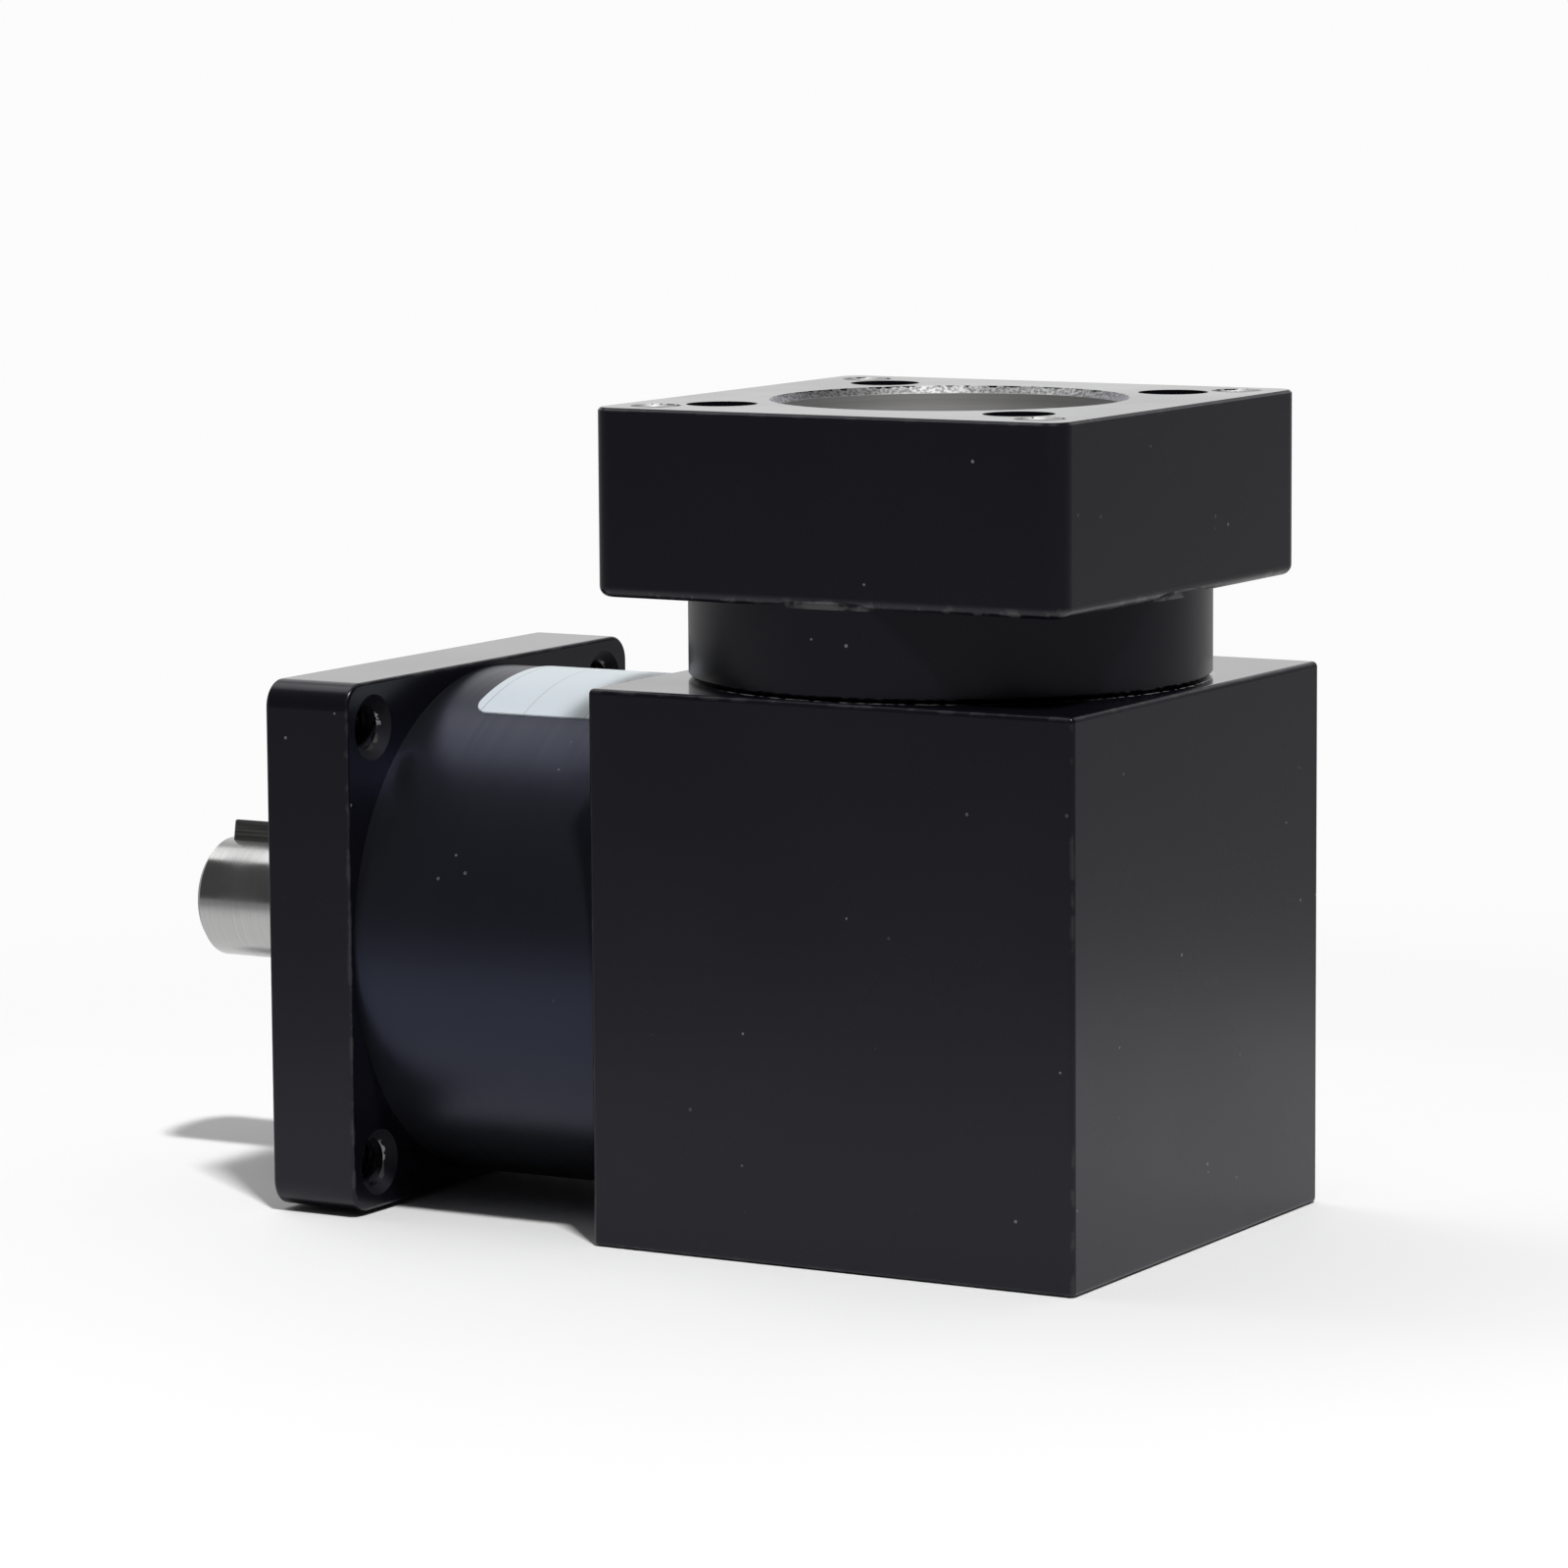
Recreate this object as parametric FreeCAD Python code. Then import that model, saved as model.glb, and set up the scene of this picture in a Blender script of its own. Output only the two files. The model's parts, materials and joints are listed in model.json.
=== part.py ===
import FreeCAD, Part
import math
import os

# Right-angle planetary gearbox with a 60 mm frame, for a 57 mm stepper motor.
# Millimetres. The origin is the centre of the output flange's mounting face.
# +X runs out along the output shaft, +Z runs up along the input axis towards the motor.

# Output flange and shaft
mount_pcd = 70.0            # bolt circle of the corner holes
mount_hole_d = 5.0          # tapped through
mount_sink_d = 7.4          # countersink on the back of each corner hole
mount_edge = 5.25           # corner hole centre to the flange's side
flange_thickness = 11.0
flange_corner_radius = 3.0
flange_edge_radius = 0.4
pilot_d = 40.0
pilot_height = 3.0
shaft_d = 14.0
shaft_reach = 26.5          # mounting face to shaft end
shaft_chamfer = 0.8
key_width = 5.0
key_height = 5.0
key_length = 20.0
key_sink = 3.0              # depth of the keyway
key_setback = 1.7           # shaft end to the key's nose
key_corner = 0.5            # rounding of the key's upright edges
key_turn = 10.0             # degrees that the shaft stands turned from key on top
centre_hole_d = 4.2         # tapping size of the thread in the shaft's end
centre_hole_depth = 12.5
centre_sink_d = 5.6

# Bearings: bore, outside diameter, width and ball diameter
front_bore, front_od, front_width, front_ball_d = 17.0, 30.0, 7.0, 3.5
rear_bore, rear_od, rear_width, rear_ball_d = 25.0, 37.0, 7.0, 3.2
sun_bore, sun_od, sun_width, sun_ball_d = 10.0, 19.0, 5.0, 2.4
input_bore, input_od, input_width, input_ball_d = 20.0, 32.0, 7.0, 3.2
race_land = 0.33            # height of a race's shoulder beyond the ball's centre, in ball diameters
ball_count = 9
cage_thickness = 0.6
cage_ratio = 1.25           # cage width in ball diameters
seal_od = 26.0
seal_width = 5.0
seal_inset = 0.4            # seal face below the pilot's face
seal_shoulder = 1.1         # wall between seal and front bearing
bearing_spread = 2.0        # between the two output bearings

# Planetary stage
gear_module = 1.0
sun_teeth = 15
planet_teeth = 15
planet_count = 3
pressure_angle = math.radians(20.0)
ring_addendum = 0.7         # in modules, short so that ring tips clear the planets' feet
backlash = 0.16
planet_width = 10.0
planet_gap = 0.5            # planet face to carrier wall
washer_thickness = 0.4
carrier_front_wall = 5.0
carrier_rear_wall = 4.0
carrier_gap = 0.5           # output bearing to carrier
carrier_end_gap = 2.5       # carrier to the angle housing
carrier_tip_gap = 0.8       # carrier rim to ring teeth
pocket_gap = 0.6            # planet tips to their windows
sun_gap = 0.8               # sun tips to the carrier's bore
pin_d = 6.0
pin_seat = 3.5              # pin's depth in the carrier's front wall
needle_d = 2.0
needle_length = 9.0
needle_count = 12
roll_gap = 0.05             # balls and needles to their tracks

# Bevel stage, a mitre pair
bevel_module = 1.5
bevel_teeth = 20
bevel_face = 6.5
bevel_web = 0.7             # metal behind the tooth roots
bevel_gap = 0.75            # driven gear to the bearing cartridge
bevel_key_width = 3.0
bevel_key_height = 3.0
bevel_key_sink = 1.8
bevel_key_length = 4.0
nut_d = 6.0
nut_flats = 10.0
nut_height = 5.0
nut_overrun = 1.0           # shaft stub beyond the nut

# Bearing cartridge of the sun shaft
cartridge_flange_thickness = 5.0
cartridge_bore_gap = 0.45   # driven gear's tips to the bore it is fitted through
cartridge_flange_margin = 0.45   # cartridge flange to the ring gear's roots
cartridge_shoulder = 1.0    # wall between the two bearings
shoulder_height = 1.1       # how far a bearing shoulder covers its outer race
collar_height = 1.2         # how far a shaft shoulder or spacer covers an inner race

# Angle housing
housing_width = 60.0
housing_drop = 30.5         # output axis to the underside
housing_rise = 31.3         # output axis to the top face
housing_back = 30.8         # input axis to the end face
housing_edge_radius = 0.6
cavity_gap = 2.5            # gear tips to the cavity's wall

# Motor flange
motor_hole_spacing = 47.14
motor_hole_d = 5.0
motor_hole_edge = 5.23      # motor hole centre to the plate's side
motor_sink_d = 5.6          # countersink on each motor hole
motor_plate_thickness = 20.7
motor_corner_radius = 2.4
motor_edge_radius = 1.2     # lower edges of the plate
motor_rim_chamfer = 0.3     # upper edges of the plate
motor_pilot_d = 38.1
motor_pilot_depth = 3.0
motor_pilot_chamfer = 0.8
neck_d = 58.0
neck_height = 9.9
neck_chamfer = 0.6          # at the neck's foot and top
neck_skin = 0.9             # metal outside a screw in the neck
spigot_skin = 1.55          # metal between screw and spigot
pinion_hub_height = 3.5     # pinion to the lower bearing
input_spread = 4.5          # between the two input bearings
clamp_room_d = 35.0

# Clamp for the motor's shaft
motor_shaft_d = 8.0
motor_shaft_depth = 21.0
quill_wall = 5.5
quill_step = 0.6            # end of the bearing seat above its circlip
hub_setback = 1.5           # split hub to the floor of the motor's pilot
split_width = 1.2
split_length = 13.0
collar_d = 33.0
collar_width = 9.0
collar_setback = 1.0
collar_gap = 2.0            # slit of the clamp collar
clamp_screw_d = 3.0
clamp_screw_offset = 12.4   # input axis to clamp screw
clamp_screw_length = 12.0
clamp_head_seat = 5.0       # clamp screw's head seat from the slit
plug_d = 6.0
plug_length = 5.5
plug_inset = 0.3
key_path_d = 3.4            # passage for the hexagon key behind the plug

# Circlips, screws and static seals
circlip_thickness = 1.2
circlip_depth = 1.0         # groove depth in bore or shaft
circlip_height = 2.0        # how far a circlip stands out of its groove
circlip_mouth = 8.0
screw_d = 4.0
screw_head_d = 7.0
screw_head_height = 4.0
screw_socket = 3.0
screw_clearance = 0.4       # hole over screw diameter
head_clearance = 0.8        # counterbore over head diameter
head_cover = 0.5            # screw head below the output flange's face
ring_skin = 0.55            # ring gear metal inside and outside a through screw
housing_screw_grip = 7.0    # thread length in the angle housing
motor_screw_floor = 5.0     # plate metal under a motor flange screw's head
motor_screw_grip = 10.0
small_screw_d = 3.0
small_head_d = 5.5
small_head_height = 3.0
small_socket = 2.5
small_screw_length = 8.0
small_head_cover = 0.2
o_ring_d = 1.8
o_ring_slack = 0.1          # groove over ring section
run_gap = 0.05              # rubbing and turning fits

# Label on the barrel, angles from +Y up over the top
label_thickness = 0.12
label_length = 22.0
label_setback = 6.2         # from the output flange
label_start = 61.5
label_span = 70.0
label_corner = 2.0

# Derived sizes of the planetary stage
ring_teeth = sun_teeth + 2 * planet_teeth
orbit_radius = gear_module * (sun_teeth + planet_teeth) / 2
ring_tip_radius = gear_module * (ring_teeth / 2 - ring_addendum)
ring_root_radius = gear_module * (ring_teeth / 2 + 1.25)
sun_tip_radius = gear_module * (sun_teeth / 2 + 1)
sun_root_radius = gear_module * (sun_teeth / 2 - 1.25)
planet_tip_radius = gear_module * (planet_teeth / 2 + 1)
planet_bore_radius = pin_d / 2 + needle_d + 2 * roll_gap
carrier_radius = ring_tip_radius - carrier_tip_gap
screw_hole_d = screw_d + screw_clearance
barrel_radius = ring_root_radius + screw_hole_d + 2 * ring_skin
through_screw_radius = ring_root_radius + ring_skin + screw_hole_d / 2
spigot_radius = ring_root_radius + ring_skin / 4

# Stations along the output axis, from the shaft end inwards
seal_front = pilot_height - seal_inset
seal_back = seal_front - seal_width
front_start = seal_back - seal_shoulder
front_end = front_start - front_width
rear_start = front_end - bearing_spread
rear_end = rear_start - rear_width
carrier_start = rear_end - carrier_gap
pocket_start = carrier_start - carrier_front_wall
planet_start = pocket_start - planet_gap
planet_end = planet_start - planet_width
pocket_end = planet_end - planet_gap
carrier_end = pocket_end - carrier_rear_wall
housing_front = carrier_end - carrier_end_gap
sun_mid = housing_front - sun_width
sun_second = sun_mid - cartridge_shoulder
cartridge_end = sun_second - sun_width

# Bevel pair: cone distance and the corners of the tooth, seen from the common apex
bevel_pitch_radius = bevel_module * bevel_teeth / 2
bevel_angle = math.radians(45.0)
cone_distance = bevel_pitch_radius / math.sin(bevel_angle)
bevel_addendum = bevel_module
bevel_dedendum = 1.25 * bevel_module
small_end = 1 - bevel_face / cone_distance
bevel_tip_radius = bevel_pitch_radius + bevel_addendum * math.cos(bevel_angle)
bevel_back = bevel_pitch_radius + bevel_dedendum * math.sin(bevel_angle) + bevel_web
bevel_front = small_end * (bevel_pitch_radius + bevel_dedendum * math.sin(bevel_angle)) + bevel_web
input_x = cartridge_end - bevel_gap - bevel_back

# Stations along the input axis, from the bevel apex upwards
lower_start = bevel_back + pinion_hub_height
lower_end = lower_start + input_width
upper_start = lower_end + input_spread
upper_end = upper_start + input_width
circlip_top = upper_end + circlip_thickness
quill_start = circlip_top + quill_step
plate_bottom = housing_rise + neck_height
motor_face = plate_bottom + motor_plate_thickness
pilot_floor = motor_face - motor_pilot_depth
hub_top = pilot_floor - hub_setback
collar_top = hub_top - collar_setback
collar_bottom = collar_top - collar_width
collar_middle = (collar_top + collar_bottom) / 2

# Derived sizes of flange, housing and clamp
flange_size = mount_pcd / math.sqrt(2) + 2 * mount_edge
motor_plate_size = motor_hole_spacing + 2 * motor_hole_edge
motor_screw_radius = neck_d / 2 - neck_skin - screw_hole_d / 2
motor_spigot_radius = motor_screw_radius - screw_hole_d / 2 - spigot_skin
cartridge_radius = bevel_tip_radius + cartridge_bore_gap
cartridge_flange_radius = ring_root_radius - cartridge_flange_margin
cartridge_screw_radius = (cartridge_radius + cartridge_flange_radius) / 2
cavity_radius = bevel_tip_radius + cavity_gap
quill_radius = motor_shaft_d / 2 + quill_wall
head_seat = -(screw_head_height + head_cover)

X = FreeCAD.Vector(1, 0, 0)
Y = FreeCAD.Vector(0, 1, 0)
Z = FreeCAD.Vector(0, 0, 1)
ORIGIN = FreeCAD.Vector(0, 0, 0)
APEX = FreeCAD.Vector(input_x, 0, 0)


def point(x, y, z):
    return FreeCAD.Vector(x, y, z)


def rod_x(radius, start, end, y=0.0, z=0.0):
    """Cylinder along X between two stations."""
    return Part.makeCylinder(radius, abs(end - start), point(min(start, end), y, z), X)


def rod_y(radius, start, end, x, z):
    """Cylinder along Y between two stations."""
    return Part.makeCylinder(radius, abs(end - start), point(x, min(start, end), z), Y)


def rod_z(radius, start, end, x=input_x, y=0.0):
    """Cylinder along Z between two stations, on the input axis unless told otherwise."""
    return Part.makeCylinder(radius, abs(end - start), point(x, y, min(start, end)), Z)


def tube_x(inner, outer, start, end):
    return rod_x(outer, start, end).cut(rod_x(inner, start, end))


def tube_z(inner, outer, start, end):
    return rod_z(outer, start, end).cut(rod_z(inner, start, end))


def turned_x(profile):
    """Solid of revolution about the output axis from (station, radius) corners."""
    corners = [point(station, 0, radius) for station, radius in profile]
    face = Part.Face(Part.makePolygon(corners + corners[:1]))
    return face.revolve(ORIGIN, X, 360)


def turned_z(profile):
    """Solid of revolution about the input axis from (station, radius) corners."""
    corners = [point(input_x + radius, 0, station) for station, radius in profile]
    face = Part.Face(Part.makePolygon(corners + corners[:1]))
    return face.revolve(APEX, Z, 360)


def block(low, high):
    """Box between two opposite corners."""
    size = high - low
    return Part.makeBox(size.x, size.y, size.z, low)


def edges_along(shape, direction):
    """Straight edges of a shape that run along a direction."""
    found = []
    for edge in shape.Edges:
        if isinstance(edge.Curve, Part.Line):
            if abs(edge.tangentAt(edge.FirstParameter).dot(direction)) > 0.999:
                found.append(edge)
    return found


def edges_at(shape, axis, station):
    """Edges that lie wholly in the plane across an axis at a station."""
    found = []
    for edge in shape.Edges:
        low = edge.BoundBox.getPoint(0).dot(axis)
        high = edge.BoundBox.getPoint(6).dot(axis)
        if abs(low - station) < 1e-4 and abs(high - station) < 1e-4:
            found.append(edge)
    return found


def cross_places(radius):
    """The four diagonal places of a screw circle, as offsets across its axis."""
    offset = radius / math.sqrt(2)
    return [(a * offset, b * offset) for a in (1, -1) for b in (1, -1)]


def hexagon(flats, height):
    """Hexagonal prism standing on the XY plane."""
    corner = flats / math.sqrt(3)
    corners = []
    for step in range(6):
        turn = math.radians(60 * step)
        corners.append(point(corner * math.cos(turn), corner * math.sin(turn), 0))
    return Part.Face(Part.makePolygon(corners + corners[:1])).extrude(Z * height)


def cap_screw(diameter, head_d, head_height, length, socket):
    """Socket head cap screw with its head's seat on the XY plane, pointing down."""
    head = Part.makeCylinder(head_d / 2, head_height)
    head = head.makeChamfer(head_height / 10, edges_at(head, Z, head_height))
    shank = Part.makeCylinder(diameter / 2, length, point(0, 0, -length))
    recess = hexagon(socket, head_height)
    recess.translate(Z * (head_height / 2))
    return head.fuse(shank).cut(recess).removeSplitter()


def facing_x(shape, place):
    """Turn a shape that stands along Z to stand along X, at a place."""
    turned = shape.copy()
    turned.rotate(ORIGIN, Y, 90)
    turned.translate(place)
    return turned


def facing_minus_y(shape, place):
    """Turn a shape that stands along Z to stand along -Y, at a place."""
    turned = shape.copy()
    turned.rotate(ORIGIN, X, 90)
    turned.translate(place)
    return turned


def moved(shape, place):
    copy = shape.copy()
    copy.translate(place)
    return copy


# Gear teeth

def involute(base_radius, radius):
    """Involute angle at a radius."""
    slope = math.acos(min(1.0, base_radius / radius))
    return math.tan(slope) - slope


def spur_flank(pitch_radius, low_radius, high_radius, half_angle):
    """Corners (radius, half angle) of a tooth flank from its foot to its tip."""
    base_radius = pitch_radius * math.cos(pressure_angle)
    start = max(low_radius, base_radius)
    widest = half_angle + involute(base_radius, pitch_radius)
    flank = []
    steps = 4
    for step in range(steps + 1):
        radius = start + (high_radius - start) * step / steps
        flank.append((radius, widest - involute(base_radius, radius)))
    if low_radius < base_radius:
        flank.insert(0, (low_radius, flank[0][1]))
    return flank


def teeth_wire(teeth, flank, foot_is_straight, first_tooth, place):
    """Closed outline of a toothed wheel: place(radius, angle) gives a point of its plane."""
    edges = []
    pitch = 2 * math.pi / teeth
    rise = 1 if foot_is_straight else 0

    def side(centre, sign):
        return [place(radius, centre + sign * half) for radius, half in flank]

    def curve(points):
        spline = Part.BSplineCurve()
        spline.interpolate(points)
        return spline.toShape()

    for tooth in range(teeth):
        centre = first_tooth + tooth * pitch
        up = side(centre, -1)
        down = side(centre, 1)
        following = side(centre + pitch, -1)
        tip = place(flank[-1][0], centre)
        root = place(flank[0][0], centre + pitch / 2)
        if foot_is_straight:
            edges.append(Part.makeLine(up[0], up[1]))
        edges.append(curve(up[rise:]))
        edges.append(Part.Arc(up[-1], tip, down[-1]).toShape())
        edges.append(curve(down[rise:][::-1]))
        if foot_is_straight:
            edges.append(Part.makeLine(down[1], down[0]))
        edges.append(Part.Arc(down[0], root, following[0]).toShape())
    return Part.Wire(edges)


def spur_solid(teeth, low_radius, high_radius, thicker, first_tooth, start, end, centre=(0.0, 0.0)):
    """Toothed prism along X. thicker is added to each tooth at the pitch circle."""
    pitch_radius = gear_module * teeth / 2
    half_angle = math.pi / (2 * teeth) + thicker / (2 * pitch_radius)
    flank = spur_flank(pitch_radius, low_radius, high_radius, half_angle)
    straight = low_radius < pitch_radius * math.cos(pressure_angle)

    def place(radius, angle):
        return point(end, centre[0] + radius * math.cos(angle), centre[1] + radius * math.sin(angle))

    outline = teeth_wire(teeth, flank, straight, first_tooth, place)
    return Part.Face(outline).extrude(X * (start - end))


def bevel_flank():
    """Corners (slope from the axis, half angle) of a bevel tooth, by its back cone."""
    virtual_radius = cone_distance * math.tan(bevel_angle)
    base_radius = virtual_radius * math.cos(pressure_angle)
    half_angle = (math.pi * bevel_module - backlash) / (4 * virtual_radius)
    low = virtual_radius - bevel_dedendum
    high = virtual_radius + bevel_addendum
    flank = []
    for radius, half in spur_flank(virtual_radius, low, high, half_angle):
        height = radius - virtual_radius
        slope = bevel_angle + math.atan(height / cone_distance)
        distance = bevel_pitch_radius + height * math.cos(bevel_angle)
        flank.append((math.tan(slope), radius * half / distance))
    return flank, low < base_radius


def bevel_blank():
    """Turned blank of a mitre gear about Z, with its apex at the origin."""
    overlap = bevel_module
    tip_drop = bevel_pitch_radius - bevel_addendum * math.sin(bevel_angle)
    profile = [
        (0.0, bevel_front),
        (small_end * (bevel_tip_radius + tip_drop) - bevel_front, bevel_front),
        (small_end * bevel_tip_radius + overlap, small_end * tip_drop - overlap),
        (bevel_tip_radius + overlap, tip_drop - overlap),
        (bevel_tip_radius + tip_drop - bevel_back, bevel_back),
        (0.0, bevel_back),
    ]
    corners = [point(radius, 0, height) for radius, height in profile]
    face = Part.Face(Part.makePolygon(corners + corners[:1]))
    return face.revolve(ORIGIN, Z, 360)


def mitre_gear(first_tooth):
    """Straight bevel gear about Z: its teeth taper to the apex at the origin."""
    flank, straight = bevel_flank()

    def outline(height):
        def place(slope, angle):
            return point(height * slope * math.cos(angle), height * slope * math.sin(angle), height)
        return teeth_wire(bevel_teeth, flank, straight, first_tooth, place)

    small = outline(small_end * bevel_pitch_radius / 2)
    large = outline(bevel_back + bevel_module)
    teeth = Part.makeLoft([small, large], True, True)
    return teeth.common(bevel_blank())


# Rolling bearings

def bearing(bore, outside, width, ball_d, upright, start):
    """Races, balls and cage of a deep groove bearing whose lower face is at start."""
    turned = turned_z if upright else turned_x
    middle = start + width / 2
    centre = point(input_x, 0, middle) if upright else point(middle, 0, 0)
    axis = Z if upright else X
    pitch_radius = (bore + outside) / 4
    inner_land = pitch_radius - race_land * ball_d
    outer_land = pitch_radius + race_land * ball_d
    end = start + width
    track = Part.makeTorus(pitch_radius, ball_d / 2 + roll_gap, centre, axis)
    outer = turned([(start, outer_land), (start, outside / 2), (end, outside / 2), (end, outer_land)])
    inner = turned([(start, bore / 2), (start, inner_land), (end, inner_land), (end, bore / 2)])
    cage_inner = pitch_radius - cage_thickness / 2
    cage_outer = pitch_radius + cage_thickness / 2
    low = middle - cage_ratio * ball_d / 2
    high = middle + cage_ratio * ball_d / 2
    cage = turned([(low, cage_inner), (low, cage_outer), (high, cage_outer), (high, cage_inner)])
    balls = []
    pockets = []
    for number in range(ball_count):
        angle = 2 * math.pi * (number + 0.5) / ball_count
        side = math.sin(angle)
        top = math.cos(angle)
        outward = point(top, side, 0) if upright else point(0, side, top)
        balls.append(Part.makeSphere(ball_d / 2, centre + outward * pitch_radius))
        pocket_foot = centre + outward * (pitch_radius - ball_d / 2)
        pockets.append(Part.makeCylinder(ball_d / 2 + roll_gap, ball_d, pocket_foot, outward))
    return {
        "outer_race": outer.cut(track),
        "inner_race": inner.cut(track),
        "balls": Part.makeCompound(balls),
        "cage": cage.cut(pockets),
    }


# Casing

def output_flange():
    half = flange_size / 2
    plate = block(point(-flange_thickness, -half, -half), point(0, half, half))
    plate = plate.makeFillet(flange_corner_radius, edges_along(plate, X))
    rims = edges_at(plate, X, 0.0) + edges_at(plate, X, -flange_thickness)
    plate = plate.makeFillet(flange_edge_radius, rims)
    boss = rod_x(pilot_d / 2, 0, pilot_height)
    boss = boss.makeChamfer(flange_edge_radius, edges_at(boss, X, pilot_height))
    spigot = rod_x(spigot_radius, -flange_thickness, rear_end)
    body = plate.fuse([boss, spigot])
    body = body.cut(rod_x(seal_od / 2, front_start, pilot_height))
    body = body.cut(rod_x(front_od / 2, rear_start, front_start))
    body = body.cut(rod_x(rear_od / 2, rear_end, rear_start))
    groove = tube_x(spigot_radius - o_ring_d, spigot_radius, *o_ring_groove(barrel_ring_station()))
    body = body.cut(groove)
    sink = (mount_sink_d - mount_hole_d) / 2
    for y, z in cross_places(mount_pcd / 2):
        hole = rod_x(mount_hole_d / 2, -flange_thickness, 0, y, z)
        mouth = Part.makeCone(mount_sink_d / 2, mount_hole_d / 2, sink, point(-flange_thickness, y, z), X)
        body = body.cut(hole.fuse(mouth))
    head_radius = (screw_head_d + head_clearance) / 2
    for y, z in cross_places(through_screw_radius):
        body = body.cut(rod_x(head_radius, head_seat, 0, y, z))
        body = body.cut(rod_x(screw_hole_d / 2, rear_end, head_seat, y, z))
    return body.removeSplitter()


def barrel_ring_station():
    """Middle of the O-ring between output flange and ring gear."""
    return (rear_end - flange_thickness) / 2


def o_ring_groove(station):
    half = (o_ring_d + o_ring_slack) / 2
    return station - half, station + half


def ring_gear():
    barrel = rod_x(barrel_radius, housing_front, -flange_thickness)
    front_bore_end = pocket_start + planet_gap
    teeth = spur_solid(ring_teeth, ring_tip_radius, ring_root_radius, backlash / 2, 0.0,
                       front_bore_end, housing_front)
    body = barrel.cut(teeth)
    body = body.cut(rod_x(spigot_radius, front_bore_end, -flange_thickness))
    for y, z in cross_places(through_screw_radius):
        body = body.cut(rod_x(screw_hole_d / 2, housing_front, -flange_thickness, y, z))
    return body


def angle_housing():
    half = housing_width / 2
    cube = block(point(input_x - housing_back, -half, -housing_drop),
                 point(housing_front, half, housing_rise))
    cube = cube.makeFillet(housing_edge_radius, cube.Edges)
    recess_end = housing_front - cartridge_flange_thickness
    body = cube.cut(rod_x(cartridge_flange_radius, recess_end, housing_front))
    body = body.cut(rod_x(cartridge_radius, cartridge_end, recess_end))
    body = body.cut(rod_x(cavity_radius, input_x, cartridge_end))
    body = body.cut(rod_z(cavity_radius, -cavity_radius, lower_start))
    body = body.cut(rod_z(motor_spigot_radius, lower_start, housing_rise))
    for y, z in cross_places(through_screw_radius):
        body = body.cut(rod_x(screw_d / 2, housing_front - housing_screw_grip, housing_front, y, z))
    for y, z in cross_places(cartridge_screw_radius):
        body = body.cut(rod_x(small_screw_d / 2, cartridge_screw_tip(), recess_end, y, z))
    for x, y in cross_places(motor_screw_radius):
        body = body.cut(rod_z(screw_d / 2, housing_rise - motor_screw_grip, housing_rise, input_x + x, y))
    return body


def cartridge_screw_seat():
    return housing_front - small_head_cover - small_head_height


def cartridge_screw_tip():
    return cartridge_screw_seat() - small_screw_length


def bearing_cartridge():
    recess_end = housing_front - cartridge_flange_thickness
    body = turned_x([
        (housing_front, 0), (housing_front, cartridge_flange_radius),
        (recess_end, cartridge_flange_radius), (recess_end, cartridge_radius),
        (cartridge_end, cartridge_radius), (cartridge_end, 0),
    ])
    body = body.cut(rod_x(sun_od / 2, sun_mid, housing_front))
    body = body.cut(rod_x(sun_od / 2 - shoulder_height, sun_second, sun_mid))
    body = body.cut(rod_x(sun_od / 2, cartridge_end, sun_second))
    for y, z in cross_places(cartridge_screw_radius):
        head = rod_x((small_head_d + screw_clearance) / 2, cartridge_screw_seat(), housing_front, y, z)
        hole = rod_x((small_screw_d + screw_clearance) / 2, recess_end, housing_front, y, z)
        body = body.cut(head.fuse(hole))
    return body


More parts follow.
